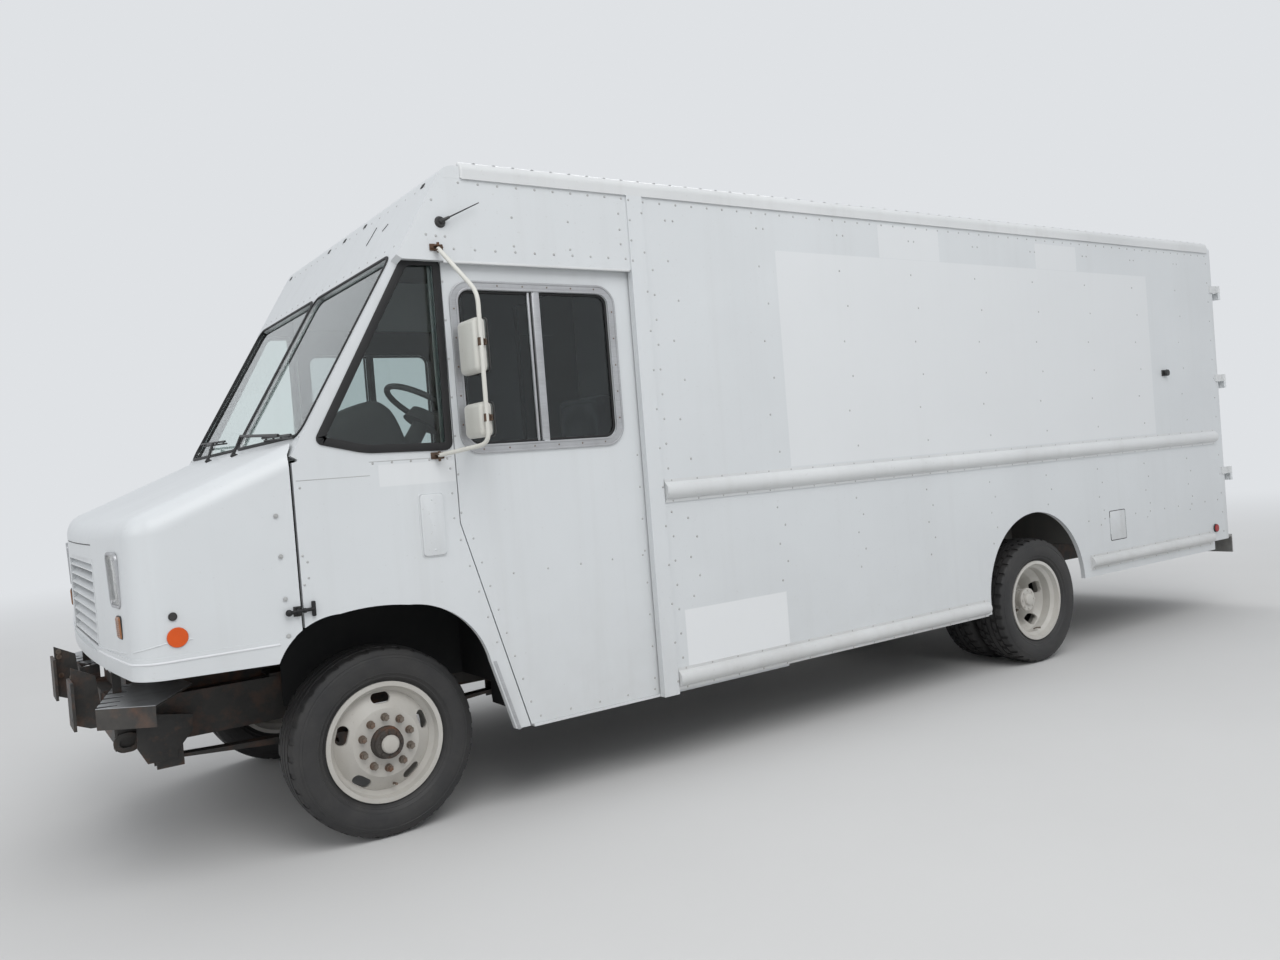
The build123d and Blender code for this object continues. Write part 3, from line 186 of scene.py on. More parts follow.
def add_rod(bm, start, end, radius, end_radius=None, segments=16):
    """A round bar, or a taper, between two points."""
    bmesh.ops.create_cone(
        bm, segments=segments, radius1=radius, radius2=radius if end_radius is None else end_radius,
        depth=(end - start).length, cap_ends=True, matrix=aim((start + end) / 2, end - start),
    )


def add_stud(bm, place, spot, low, high, radius, end_radius=None, segments=16):
    """A round bar, or a taper, that stands on a spot of a face between two heights over it."""
    add_rod(bm, place(*spot, low), place(*spot, high), radius, end_radius, segments)


def add_block(bm, centre, size, edge=0.0, turn=None, segments=3):
    """A block with rounded edges, turned by a matrix about its centre."""
    verts = bmesh.ops.create_cube(bm, size=1.0)["verts"]
    bmesh.ops.scale(bm, vec=size, verts=verts)
    if edge:
        edges = list(dict.fromkeys(e for vert in verts for e in vert.link_edges))
        made = round_off(bm, edges, edge, "EDGES", segments)["verts"]
        verts = list(dict.fromkeys(v for vert in made for face in vert.link_faces for v in face.verts))
    matrix = Matrix.Translation(centre) @ (turn or Matrix.Identity(4))
    bmesh.ops.transform(bm, matrix=matrix, verts=verts)


def add_tube(bm, points, radius, segments=14):
    """A bent tube through a list of points, its corners mitred."""
    ring = bmesh.ops.create_circle(bm, segments=segments, radius=radius, cap_ends=True,
                                   matrix=aim(points[0], points[1] - points[0]))["verts"]
    face = next(f for f in ring[0].link_faces if len(f.verts) == segments)
    for index in range(1, len(points)):
        here = points[index]
        along = (here - points[index - 1]).normalized()
        ahead = (points[index + 1] - here).normalized() if index + 1 < len(points) else along
        normal = (along + ahead).normalized()
        made = bmesh.ops.extrude_face_region(bm, geom=[face])["geom"]
        if face.is_valid and index > 1:
            bmesh.ops.delete(bm, geom=[face], context="FACES_ONLY")
        face = only(bmesh.types.BMFace, made)[0]
        for vert in face.verts:
            gap = (here - vert.co).dot(normal) / along.dot(normal)
            vert.co += along * gap


def bend(points, radius, steps=5):
    """Points of a path with its inner corners rounded."""
    path = [points[0]]
    for before, corner, after in zip(points, points[1:], points[2:]):
        back, ahead = (before - corner).normalized(), (after - corner).normalized()
        start, end = corner + back * radius, corner + ahead * radius
        for step in range(steps + 1):
            share = step / steps
            path.append(start.lerp(corner, share).lerp(corner.lerp(end, share), share))
    path.append(points[-1])
    return path


def flat_face(corners, radius, segments):
    """A flat face with rounded corners, as a bmesh of its own."""
    part = bmesh.new()
    verts = [part.verts.new((u, v, 0)) for u, v in corners]
    part.faces.new(verts)
    if radius:
        round_off(part, verts, radius, "VERTICES", segments)
    return part


def add_ring(bm, corners, radius, width, thick, place, segments=6):
    """A flat frame inside a rounded outline, with its edges eased, placed by a function."""
    part = flat_face(corners, radius, segments)
    inner = part.faces[:]
    bmesh.ops.inset_region(part, faces=inner, thickness=width, use_boundary=True, use_even_offset=True)
    bmesh.ops.delete(part, geom=inner, context="FACES")
    raise_sheet(part, thick, EDGE_CROWN)
    place_into(bm, part, place)


def add_plate(bm, corners, radius, thick, place, crown=EDGE_CROWN):
    """A flat plate with a rounded outline and eased edges, placed by a function."""
    part = flat_face(corners, radius, 6)
    raise_sheet(part, thick, crown)
    place_into(bm, part, place)


def raise_sheet(part, thick, crown):
    """Gives a flat sheet its thickness upward and eases its upper edges by a share of it."""
    made = bmesh.ops.extrude_face_region(part, geom=part.faces[:], use_keep_orig=True)["geom"]
    top = set(only(bmesh.types.BMVert, made))
    bmesh.ops.translate(part, vec=(0, 0, thick), verts=list(top))
    rim = [e for e in part.edges if top.issuperset(e.verts) and len(e.link_faces) == 2
           and e.calc_face_angle(0) > radians(30)]
    if crown and rim:
        round_off(part, rim, thick * crown, "EDGES", 2)


def place_into(bm, part, place):
    """Moves a flat-built part to its place and adds it to a bmesh."""
    for vert in part.verts:
        vert.co = place(*vert.co)
    mesh = bpy.data.meshes.new("part")
    part.to_mesh(mesh)
    part.free()
    bm.from_mesh(mesh)
    bpy.data.meshes.remove(mesh)


def rectangle(left, right, low, high):
    """Corners of an upright rectangle."""
    return [(left, low), (right, low), (right, high), (left, high)]


def add_rivets(bm, place, spots, radius=None, proud=None):
    """Rivet heads on spots of a face."""
    sizes = bpy.context.scene.truck_sizes
    radius, proud = radius or sizes.rivet_radius, proud or sizes.rivet_proud
    for spot in spots:
        add_stud(bm, place, spot, 0, proud, radius, radius * 0.5, 8)


def row(start, end, pitch):
    """Even places along a line, as near to a pitch as fits."""
    count = max(1, round(abs(end - start) / pitch))
    return [start + (end - start) * index / count for index in range(count + 1)]


def up_row(station, *span):
    """An upright row of places, as (station, height)."""
    return [(station, height) for height in row(*span)]


def level_row(height, *span):
    """A level row of places, as (station, height)."""
    return [(station, height) for station in row(*span)]


def leaning_row(station, *span):
    """A row of places that runs back below the doors' knee, as (station, height)."""
    return [(station + (KNEE_HEIGHT - height) * KNEE_SLOPE, height) for height in row(*span)]


# Material helpers: the finishes by name
finishes = {}

# The CAD nodes whose finish isn't their slot's own
NODE_FINISHES = {
    "side_wall_left": "side_paint", "cab_side_left": "cab_left_paint", "rear_hinges": "rail_paint",
    # the cab floor, bulkhead and firewall are made near-black: painted shade inside the cab
    "bulkhead": "cab_trim", "firewall": "cab_trim", "cab_floor": "dark_parts_and_shade",
    "cab_side_right": "cab_paint", "cab_door_left": "cab_paint", "cab_door_right": "cab_paint",
    "front_cap": "cab_paint", "door_frames": "cab_paint", "roof": "cab_paint",
}


class Tree:
    """Adds and joins nodes in one node tree."""

    def __init__(self, tree):
        self.tree = tree

    def node(self, kind, values=None, **settings):
        made = self.tree.nodes.new("ShaderNode" + kind)
        for name, setting in settings.items():
            setattr(made, name, setting)
        for name, value in (values or {}).items():
            self.feed(made.inputs[name], value)
        return made

    def feed(self, socket, value):
        if isinstance(value, bpy.types.NodeSocket):
            self.tree.links.new(value, socket)
        elif socket.type == "RGBA" and len(value) == 3:
            socket.default_value = (*value, 1)
        else:
            socket.default_value = value

    def vector(self, operation, first, second=(0, 0, 0)):
        return self.node("VectorMath", {0: first, 1: second}, operation=operation).outputs["Vector"]

    def math(self, operation, first, second=0.0, third=0.0):
        return self.node("Math", {0: first, 1: second, 2: third}, operation=operation).outputs[0]

    def mix(self, share, first, second):
        return self.node("Mix", {0: share, 6: first, 7: second}, data_type="RGBA").outputs[2]

    def noise(self, place, scale, detail=3.0, roughness=0.55):
        values = {"Vector": place, "Scale": scale, "Detail": detail, "Roughness": roughness}
        return self.node("TexNoise", values).outputs["Fac"]

    def span(self, value, low, high, to_low=0.0, to_high=1.0):
        values = {0: value, 1: low, 2: high, 3: to_low, 4: to_high}
        return self.node("MapRange", values).outputs[0]

    def place(self):
        return self.node("TexCoord").outputs["Object"]

    def stretch(self, place, scale):
        return self.node("Mapping", {"Vector": place, "Scale": scale}).outputs[0]


def shader_group(name, inputs, outputs, build):
    """A node group with named sockets: inputs are (name, default), outputs are (name, kind)."""
    group = bpy.data.node_groups.new(name, "ShaderNodeTree")
    for label, default in inputs:
        kind = {float: "Float", Vector: "Vector"}.get(type(default), "Color")
        socket = group.interface.new_socket(label, in_out="INPUT", socket_type="NodeSocket" + kind)
        socket.default_value = (*default, 1) if kind == "Color" else default
    for label, kind in outputs:
        group.interface.new_socket(label, in_out="OUTPUT", socket_type="NodeSocket" + kind)
    tree = Tree(group)
    entry = group.nodes.new("NodeGroupInput")
    results = build(tree, entry.outputs)
    leave = group.nodes.new("NodeGroupOutput")
    for label, socket in results.items():
        group.links.new(socket, leave.inputs[label])
    return group


def build_weathered_paint(tree, given):
    """Paint with a soft cloud, run-down streaks, grime low down and rust specks."""
    place = tree.place()
    height = tree.node("SeparateXYZ", {0: place}).outputs["Z"]
    cloud = tree.noise(place, 1.3, 4.0)
    streak = tree.span(tree.noise(tree.stretch(place, (11, 11, 0.5)), 1.0, 4.0), 0.52, 0.8)
    splash = tree.math("MULTIPLY", tree.span(height, 1.15, 0.4), tree.noise(place, 6.0, 5.0, 0.65))
    specks = tree.span(tree.noise(place, 60.0, 2.0), 0.68, 0.74)
    dirt = tree.math("MULTIPLY_ADD", streak, 0.30, tree.math("MULTIPLY", splash, 0.95))
    dirt = tree.math("MULTIPLY_ADD", specks, 0.5, dirt)
    dirt = tree.math("MULTIPLY", dirt, given["Grime Amount"])
    paint = tree.mix(tree.span(cloud, 0.3, 0.7), given["Paint"], given["Shaded Paint"])
    colour = tree.mix(tree.math("MINIMUM", dirt, 1.0), paint, given["Grime"])
    spots = tree.span(tree.noise(place, 24.0, 6.0, 0.7), 0.70, 0.76)
    spots = tree.math("MULTIPLY", spots, given["Rust Amount"])
    colour = tree.mix(spots, colour, given["Rust"])
    rough = tree.math("MULTIPLY_ADD", dirt, 0.35, given["Roughness"])
    wave = tree.noise(tree.stretch(place, (1.0, 1.0, 1.6)), 1.1, 1.0)
    bump = tree.node("Bump", {"Strength": 0.25, "Distance": 0.02, "Height": wave})
    return {"Colour": colour, "Roughness": rough, "Normal": bump.outputs[0]}


def build_dusty_surface(tree, given):
    """A dark surface with dust, a fine grain and blotches of a second colour."""
    place = tree.place()
    blotch = tree.span(tree.noise(place, 9.0, 5.0, 0.65), 0.48, 0.66)
    blotch = tree.math("MULTIPLY", blotch, given["Blotch Amount"])
    colour = tree.mix(blotch, given["Colour"], given["Blotch"])
    dust = tree.span(tree.noise(place, 3.2, 6.0, 0.7), 0.35, 0.75)
    dust = tree.math("MULTIPLY", dust, given["Dust Amount"])
    colour = tree.mix(dust, colour, given["Dust"])
    rough = tree.math("MULTIPLY_ADD", dust, 0.3, given["Roughness"])
    grain = tree.noise(place, 160.0, 3.0)
    bump = tree.node("Bump", {"Strength": given["Grain"], "Distance": 0.001, "Height": grain})
    return {"Colour": colour, "Roughness": rough, "Normal": bump.outputs[0]}


def build_panel_patch(tree, given):
    """A mask over an upright rectangle of a body side, its edges a few millimetres soft."""
    parts = tree.node("SeparateXYZ", {0: tree.place()}).outputs
    mask = None
    for axis, low, high in (("X", "Front", "Rear"), ("Z", "Low", "High")):
        start = tree.math("SUBTRACT", parts[axis], given[low])
        end = tree.math("SUBTRACT", given[high], parts[axis])
        inside = tree.span(tree.math("MINIMUM", start, end), 0.0, 0.006)
        mask = inside if mask is None else tree.math("MULTIPLY", mask, inside)
    return {"Mask": mask}


def build_inner_shade(tree, given):
    """A mask over the faces that look towards a centre, as the inside of a shell does: it marks where
    shade is painted inside a shell.
    """
    coordinates = tree.node("TexCoord").outputs
    away = tree.vector("SUBTRACT", coordinates["Object"], given["Centre"])
    away = tree.vector("NORMALIZE", tree.vector("DIVIDE", away, given["Reach"]))
    values = {0: away, 1: coordinates["Normal"]}
    facing = tree.node("VectorMath", values, operation="DOT_PRODUCT").outputs["Value"]
    across = tree.node("SeparateXYZ", {0: coordinates["Object"]}).outputs["Y"]
    within = tree.math("LESS_THAN", tree.math("ABSOLUTE", across), given["Width"])
    return {"Mask": tree.math("MULTIPLY", tree.span(facing, -0.60, -0.66), within)}


def build_metal_grain(tree, given):
    """Drawn metal: fine lines along the length, dull clouds and small stains."""
    place = tree.place()
    lines = tree.noise(tree.stretch(place, (3, 240, 240)), 1.0, 3.0)
    cloud = tree.noise(place, 7.0, 5.0, 0.6)
    shade = tree.math("MULTIPLY_ADD", lines, 0.4, tree.math("MULTIPLY", cloud, 0.6))
    colour = tree.mix(tree.span(shade, 0.35, 0.65), given["Colour"], given["Stain"])
    rough = tree.span(cloud, 0.3, 0.7, 0.28, 0.5)
    bump = tree.node("Bump", {"Strength": 0.08, "Distance": 0.0005, "Height": lines})
    return {"Colour": colour, "Roughness": rough, "Normal": bump.outputs[0]}


def build_woven_cloth(tree, given):
    """Crossed threads with soft wear."""
    place = tree.place()
    threads = []
    for direction in ("X", "Z"):
        values = {"Vector": place, "Scale": 180.0, "Distortion": 0.6, "Detail": 1.0}
        threads.append(tree.node("TexWave", values, bands_direction=direction).outputs["Fac"])
    weave = tree.math("MULTIPLY", threads[0], threads[1])
    wear = tree.noise(place, 6.0, 4.0)
    colour = tree.mix(weave, given["Shade"], given["Colour"])
    colour = tree.mix(tree.span(wear, 0.5, 0.8, 0.0, 0.5), colour, given["Wear"])
    bump = tree.node("Bump", {"Strength": 0.3, "Distance": 0.0008, "Height": weave})
    return {"Colour": colour, "Normal": bump.outputs[0]}


# Outputs of the groups that give a whole look, and of those that give a mask
LOOKS = (("Colour", "Color"), ("Roughness", "Float"), ("Normal", "Vector"))
MASK = (("Mask", "Float"),)


def make_groups(colours):
    """The shared node groups, by name."""
    paint, grime, rust = tuple(colours.paint), tuple(colours.grime), tuple(colours.rust)
    return {
        "paint": shader_group("Weathered paint", (
            ("Paint", paint), ("Shaded Paint", paint), ("Grime", grime), ("Rust", rust),
            ("Grime Amount", 0.4), ("Rust Amount", 0.2), ("Roughness", 0.35)), LOOKS,
            build_weathered_paint),
        "dusty": shader_group("Dusty surface", (
            ("Colour", paint), ("Blotch", rust), ("Dust", grime), ("Blotch Amount", 0.0),
            ("Dust Amount", 0.3), ("Roughness", 0.6), ("Grain", 0.3)), LOOKS, build_dusty_surface),
        "patch": shader_group("Panel patch", (
            ("Front", 0.0), ("Rear", 1.0), ("Low", 0.0), ("High", 1.0)), MASK, build_panel_patch),
        "inside": shader_group("Inner painted shade", (
            ("Centre", Vector()), ("Reach", Vector((1, 1, 1))), ("Width", CAB_HALF - 0.003)), MASK,
            build_inner_shade),
        "metal": shader_group("Metal grain", (
            ("Colour", paint), ("Stain", grime)), LOOKS, build_metal_grain),
        "cloth": shader_group("Woven cloth", (
            ("Colour", paint), ("Shade", grime), ("Wear", grime)), (LOOKS[0], LOOKS[2]),
            build_woven_cloth),
    }


def add_group(tree, group, values):
    """A node that holds a group, with its inputs fed."""
    made = tree.node("Group")
    made.node_tree = group
    for socket, value in values.items():
        tree.feed(made.inputs[socket], value)
    return made.outputs


def new_finish(name, group=None, values=None, plain=None):
    """A material whose Principled shader is fed by one node group and by plain values."""
    finishes[name] = material = bpy.data.materials.new(name)
    material.use_nodes = True
    tree = Tree(material.node_tree)
    shader = material.node_tree.nodes["Principled BSDF"]
    for socket, value in (plain or {}).items():
        shader.inputs[socket].default_value = value
    if group:
        looks = add_group(tree, group, values)
        for output, kind in LOOKS:
            if output in looks:
                tree.feed(shader.inputs["Base Color" if kind == "Color" else output], looks[output])
    return tree, shader


def cover(finish, group, values, colour, share=1.0):
    """Lays a colour over a paint finish where any of a group's masks, one for each set of values, is."""
    material = finishes[finish]
    tree = Tree(material.node_tree)
    base = material.node_tree.nodes["Principled BSDF"].inputs["Base Color"]
    painted = base.links[0].from_socket
    masks = [add_group(tree, group, one)["Mask"] for one in values]
    mask = masks[0]
    for other in masks[1:]:
        mask = tree.math("MAXIMUM", mask, other)
    tree.feed(base, tree.mix(tree.math("MULTIPLY", mask, share), painted, colour))


def add_patches(finish, group, patches, colour, share):
    """Lays fresher rectangles, where signs kept the weather off, over a paint finish."""
    cover(finish, group, [
        {"Front": FRONT_WHEEL.x + front, "Rear": FRONT_WHEEL.x + rear, "Low": low, "High": high}
        for front, rear, low, high in patches], colour, share)


def length_of(name, description, default):
    """A property for a length."""
    return FloatProperty(name=name, description=description, default=default, unit="LENGTH")


def colour_of(name, description, default):
    """A property for a colour, linear."""
    return FloatVectorProperty(name=name, description=description, default=default, subtype="COLOR")


class TruckSizes(bpy.types.PropertyGroup):
    """Sizes of the added details."""

    rivet_radius: length_of("Rivet radius", "Radius of a rivet head on the body panels", 0.0065)
    rivet_proud: length_of("Rivet height", "How far a rivet head stands off its panel", 0.0028)
    tread_depth: length_of("Tread depth", "Depth of the tyres' grooves", 0.011)
    tyre_steps: IntProperty(name="Tyre steps", description="Faces round a tyre", default=108)
    seal_width: length_of("Seal width", "Width of the rubber round the vent windows", 0.036)
    nut_circle: length_of("Nut circle", "Radius of the circle of wheel nuts", 0.1125)


class TruckColours(bpy.types.PropertyGroup):
    """Base colours of the finishes."""

    paint: colour_of("Paint", "White body paint", (0.66, 0.68, 0.69))
    patch: colour_of("Old sign", "Fresher paint where signs were", (0.74, 0.75, 0.755))
    grime: colour_of("Grime", "Road dirt on pale paint", (0.30, 0.27, 0.235))
    rust: colour_of("Rust", "Rust on steel", (0.16, 0.065, 0.03))
    dust: colour_of("Dust", "Dust on dark parts", (0.17, 0.155, 0.135))
    rubber: colour_of("Rubber", "Tyre rubber", (0.022, 0.022, 0.023))
    chassis: colour_of("Chassis", "Chassis paint", (0.022, 0.021, 0.02))
    wheel: colour_of("Wheels", "Wheel paint", (0.66, 0.655, 0.62))
    amber: colour_of("Amber", "Side reflectors", (0.66, 0.085, 0.0))


class TRUCK_OT_finishes(bpy.types.Operator):
    """Makes the materials and gives them to the CAD nodes"""

    bl_idname = "truck.finishes"
    bl_label = "Finishes"

    def execute(self, context):
        colours = context.scene.truck_colours
        groups = make_groups(colours)
        paint, dust, rust = tuple(colours.paint), tuple(colours.dust), tuple(colours.rust)
        shaded = tuple(c * 0.95 for c in paint)
        painted = {
            # name: (paint, shaded paint, grime, rust, roughness)
            "body_paint": (paint, shaded, 0.45, 0.05, 0.34),
            "side_paint": (paint, shaded, 0.16, 0.03, 0.34),
            "cab_paint": (paint, shaded, 0.26, 0.03, 0.34),
            "cab_left_paint": (paint, shaded, 0.26, 0.03, 0.34),
            "hood_paint": (paint, shaded, 0.22, 0.03, 0.36),
            # brighter paint for the beads along the hood's ridge: a painted highlight where the lip's top
            # catches the light
            "ridge_highlight_paint": ((0.77, 0.78, 0.80), (0.70, 0.71, 0.72), 0.1, 0.02, 0.34),
            "rail_paint": ((0.68, 0.69, 0.69), (0.61, 0.62, 0.62), 0.35, 0.06, 0.30),
            "rivet_paint": ((0.50, 0.51, 0.51), (0.36, 0.36, 0.35), 0.7, 0.4, 0.40),
            "wheel_paint": (tuple(colours.wheel), (0.52, 0.50, 0.46), 0.55, 0.38, 0.42),
            "mirror_shell": ((0.66, 0.65, 0.60), (0.58, 0.57, 0.52), 0.6, 0.05, 0.33),
            "floor_metal": ((0.17, 0.17, 0.165), (0.13, 0.13, 0.125), 0.9, 0.2, 0.5),
        }
        for name, (fresh, shade, grime, rusty, rough) in painted.items():
            new_finish(name, groups["paint"], {
                "Paint": fresh, "Shaded Paint": shade, "Grime Amount": grime, "Rust Amount": rusty,
                "Roughness": rough})
        for name, patches, share in (
            ("side_paint", ((2.32, 6.06, 1.470, 2.665), (3.15, 3.70, 2.660, 2.866),
                            (4.69, 5.17, 2.660, 2.838)), 0.60),
            ("side_paint", ((1.52, 2.22, 0.480, 0.800),), 0.95),
            ("cab_left_paint", ((0.0, 0.355, 1.54, 1.64),), 0.6),
        ):
            add_patches(name, groups["patch"], patches, tuple(colours.patch), share)
        # the inner faces of the hood and the cab turn near-black: painted shade inside the shells
        for name, centre, reach in (("hood_paint", at(-0.50, 0, 1.00), (0.60, 1.15, 0.45)),
                                    ("cab_paint", at(0.45, 0, 1.55), (1.10, 1.15, 1.30)),
                                    ("cab_left_paint", at(0.45, 0, 1.55), (1.10, 1.15, 1.30))):
            cover(name, groups["inside"], [{"Centre": centre, "Reach": reach}], (0.017, 0.019, 0.020))
        dusty = {
            # name: (colour, blotch, blotch amount, dust amount, roughness, grain, metallic)
            "tyre_rubber": (tuple(colours.rubber), (0.035, 0.034, 0.033), 0.4, 0.14, 0.60, 0.5, 0.0),
            "chassis_paint": (tuple(colours.chassis), rust, 0.45, 0.35, 0.55, 0.4, 0.0),
            "black_steel": (tuple(colours.chassis), rust, 0.65, 0.3, 0.5, 0.4, 0.0),
            "cast_parts": ((0.045, 0.038, 0.033), rust, 0.8, 0.35, 0.7, 0.6, 0.2),
            "rusty_steel": ((0.09, 0.055, 0.035), rust, 0.9, 0.15, 0.75, 0.7, 0.2),
            "nut_steel": ((0.20, 0.17, 0.14), rust, 0.8, 0.1, 0.5, 0.5, 0.5),
            "trim_black": ((0.018, 0.018, 0.019), (0.03, 0.03, 0.03), 0.3, 0.15, 0.45, 0.3, 0.0),
            "seal_rubber": ((0.006, 0.006, 0.007), (0.012, 0.012, 0.012), 0.3, 0.04, 0.62, 0.2, 0.0),
            # near-black lining of the bulkhead and firewall, partly their own colour and partly painted
            # shade inside the cab
            "cab_trim": ((0.026, 0.028, 0.030), (0.02, 0.02, 0.02), 0.4, 0.12, 0.65, 0.8, 0.0),
            # near-black for the dark parts inside the cab, and painted shade on the cab floor, behind the
            # grille and under the step slots
            "dark_parts_and_shade": ((0.010, 0.011, 0.012), (0.02, 0.02, 0.02), 0.4, 0.05, 0.7, 0.3, 0.0),
            "post_grey": ((0.13, 0.145, 0.145), (0.08, 0.08, 0.08), 0.4, 0.1, 0.5, 0.3, 0.0),
            "tank_metal": ((0.16, 0.155, 0.15), rust, 0.3, 0.5, 0.5, 0.3, 0.6),
            "step_metal": ((0.42, 0.42, 0.41), (0.2, 0.18, 0.16), 0.4, 0.4, 0.42, 0.4, 0.7),
            "lamp_red": ((0.34, 0.012, 0.012), (0.25, 0.01, 0.01), 0.2, 0.05, 0.22, 0.0, 0.0),
            "lamp_amber": (tuple(colours.amber), (0.52, 0.06, 0.0), 0.3, 0.0, 0.34, 0.0, 0.0),
            "amber_dull": ((0.33, 0.13, 0.045), (0.16, 0.06, 0.02), 0.6, 0.15, 0.25, 0.0, 0.0),
            "step_sheet": ((0.50, 0.51, 0.52), (0.30, 0.30, 0.30), 0.5, 0.12, 0.36, 0.3, 0.6),
        }
        for name, (colour, blotch, blotched, dusted, rough, grain, metallic) in dusty.items():
            new_finish(name, groups["dusty"], {
                "Colour": colour, "Blotch": blotch, "Blotch Amount": blotched, "Dust": dust,
                "Dust Amount": dusted, "Roughness": rough, "Grain": grain}, {"Metallic": metallic})
        for name, colour, stain in (
            ("bright_metal", (0.60, 0.60, 0.59), (0.42, 0.41, 0.39)),
            ("frame_metal", (0.50, 0.51, 0.52), (0.38, 0.38, 0.39)),
            ("lamp_chrome", (0.85, 0.85, 0.84), (0.70, 0.70, 0.68)),
            ("mirror_glass", (0.72, 0.76, 0.78), (0.62, 0.66, 0.68)),
        ):
            new_finish(name, groups["metal"], {"Colour": colour, "Stain": stain},
                       {"Metallic": 0.55 if name == "frame_metal" else 1.0})
        new_finish("seat_cloth", groups["cloth"], {
            "Colour": (0.10, 0.10, 0.11), "Shade": (0.03, 0.03, 0.035), "Wear": (0.16, 0.16, 0.16)},
            {"Roughness": 0.9, "Sheen Weight": 0.3})
        for name, colour, rough, transmission in (
            ("window_glass", (0.84, 0.92, 0.90, 1), 0.0, 1.0),
            ("dark_glass", (0.52, 0.58, 0.585, 1), 0.0, 1.0),
            ("lens_clear", (0.92, 0.93, 0.92, 1), 0.04, 0.9),
        ):
            tree, shader = new_finish(name, plain={
                "Base Color": colour, "Transmission Weight": transmission, "IOR": 1.45})
            smear = tree.span(tree.noise(tree.place(), 5.0, 5.0, 0.6), 0.5, 0.9, rough, rough + 0.06)
            tree.feed(shader.inputs["Roughness"], smear)
        finishes["lamp_clear"] = finishes["lens_clear"]
        for part in frame["record"]["subparts"]:
            finish = NODE_FINISHES.get(part["node"], part["material_slot"])
            mesh = frame["nodes"][part["node"]].data
            mesh.materials.clear()
            mesh.materials.append(finishes[finish])
        return {"FINISHED"}


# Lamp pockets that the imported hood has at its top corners: station, half and height of their middle,
# their turn, and their reach across, up and into the hood
POCKET_PLACE = (-1.010, 0.895, 1.453)
POCKET_TURN = radians(10)
POCKET_SIZE = (0.0356, 0.0366, 0.0505)
# Samples of the skin round a pocket: half of their field, their pitch and how far off they start
SAMPLE_HALF, SAMPLE_PITCH, SAMPLE_START = 0.095, 0.010, 0.4
# Station and half of the middle of the hood's rounded corner, and the half of its side
CORNER_MIDDLE = (-0.861, 1.039)
HOOD_SIDE_HALF = 1.154
# Height of the beads that carry the painted highlight along the hood's ridge
RIDGE_HEIGHT = 0.947
# The hood's closed skin, by name, for the details that lie on it
skins = {}


def on_nose(side, station, half, height, turn, lean=0.0):
    """Places points on a turned upright plane of the nose: across, up and out."""
    origin = at(station, side * half, height)
    across = Vector((side * sin(turn), cos(turn), 0))
    level = Vector((-cos(turn), side * sin(turn), 0))
    up = Vector((0, 0, 1)) * cos(lean) + level * sin(lean)
    out = level * cos(lean) - Vector((0, 0, 1)) * sin(lean)
    return lambda u, v, w=0.0: origin + across * u + up * v + out * w


def carry_on(samples, spots):
    """Heights at new spots on a smooth surface through sampled ones, by cubic radial functions."""
    def spread(first, second):
        return np.linalg.norm(first[:, None] - second[None], axis=2) ** 3

    flat = samples[:, :2]
    plane = np.c_[np.ones(len(flat)), flat]
    system = np.block([[spread(flat, flat), plane], [plane.T, np.zeros((3, 3))]])
    weights = np.linalg.solve(system, np.r_[samples[:, 2], 0, 0, 0])
    return spread(spots, flat) @ weights[:-3] + np.c_[np.ones(len(spots)), spots] @ weights[-3:]


def close_pocket(bm, side):
    """Closes a pocket in the hood's skin with a surface that carries on the skin round it."""
    origin = at(POCKET_PLACE[0], side * POCKET_PLACE[1], POCKET_PLACE[2])
    across = Vector((side * sin(POCKET_TURN), cos(POCKET_TURN), 0))
    out = Vector((-cos(POCKET_TURN), side * sin(POCKET_TURN), 0))

    def in_pocket(place, spare=0.0):
        away = place - origin
        return (abs(away.dot(across)) < POCKET_SIZE[0] + spare and abs(away.z) < POCKET_SIZE[1] + spare
                and -POCKET_SIZE[2] - spare < away.dot(out) < 0.02)

    # the skin is sampled from the front and above, where it hides nothing
    skin = BVHTree.FromBMesh(bm)
    view = (out + Vector((0, 0, 0.8))).normalized()
    level = view.cross(Vector((0, 0, 1))).normalized()
    slope = level.cross(view)
    samples = []
    steps = row(-SAMPLE_HALF, SAMPLE_HALF, SAMPLE_PITCH)
    for u in steps:
        for v in steps:
            start = origin + level * u + slope * v + view * SAMPLE_START
            place = skin.ray_cast(start, -view)[0]
            if place and not in_pocket(place, 0.0015):
                samples.append((u, v, (place - origin).dot(view)))
    walls = [f for f in bm.faces if all(in_pocket(v.co) for v in f.verts)]
    bmesh.ops.delete(bm, geom=walls, context="FACES")
    rim = [e for e in bm.edges if len(e.link_faces) == 1 and in_pocket(e.verts[0].co, 0.002)]
    loops = []
    while rim:
        loop, ends = [], [rim.pop()]
        while ends:
            edge = ends.pop()
            loop.append(edge)
            joined = [e for v in edge.verts for e in v.link_edges if e in rim]
            rim = [e for e in rim if e not in joined]
            ends += joined
        loops.append(loop)
    # the loop furthest out is the skin's, and is filled with a fine curved surface
    loops.sort(key=lambda loop: sum((e.verts[0].co - origin).dot(view) for e in loop) / len(loop))
    for loop in loops:
        made = bmesh.ops.triangle_fill(bm, edges=loop, use_beauty=True, normal=view)["geom"]
        if loop is loops[-1]:
            fixed = {v for e in loop for v in e.verts}
            inner = [e for e in only(bmesh.types.BMEdge, made) if e not in loop]
            cut = bmesh.ops.subdivide_edges(bm, edges=inner, cuts=7, use_grid_fill=True)["geom_inner"]
            moved = [v for v in only(bmesh.types.BMVert, cut) if v not in fixed]
            spots = np.array([((v.co - origin).dot(level), (v.co - origin).dot(slope)) for v in moved])
            for vert, height in zip(moved, carry_on(np.array(samples), spots)):
                vert.co += view * (height - (vert.co - origin).dot(view))


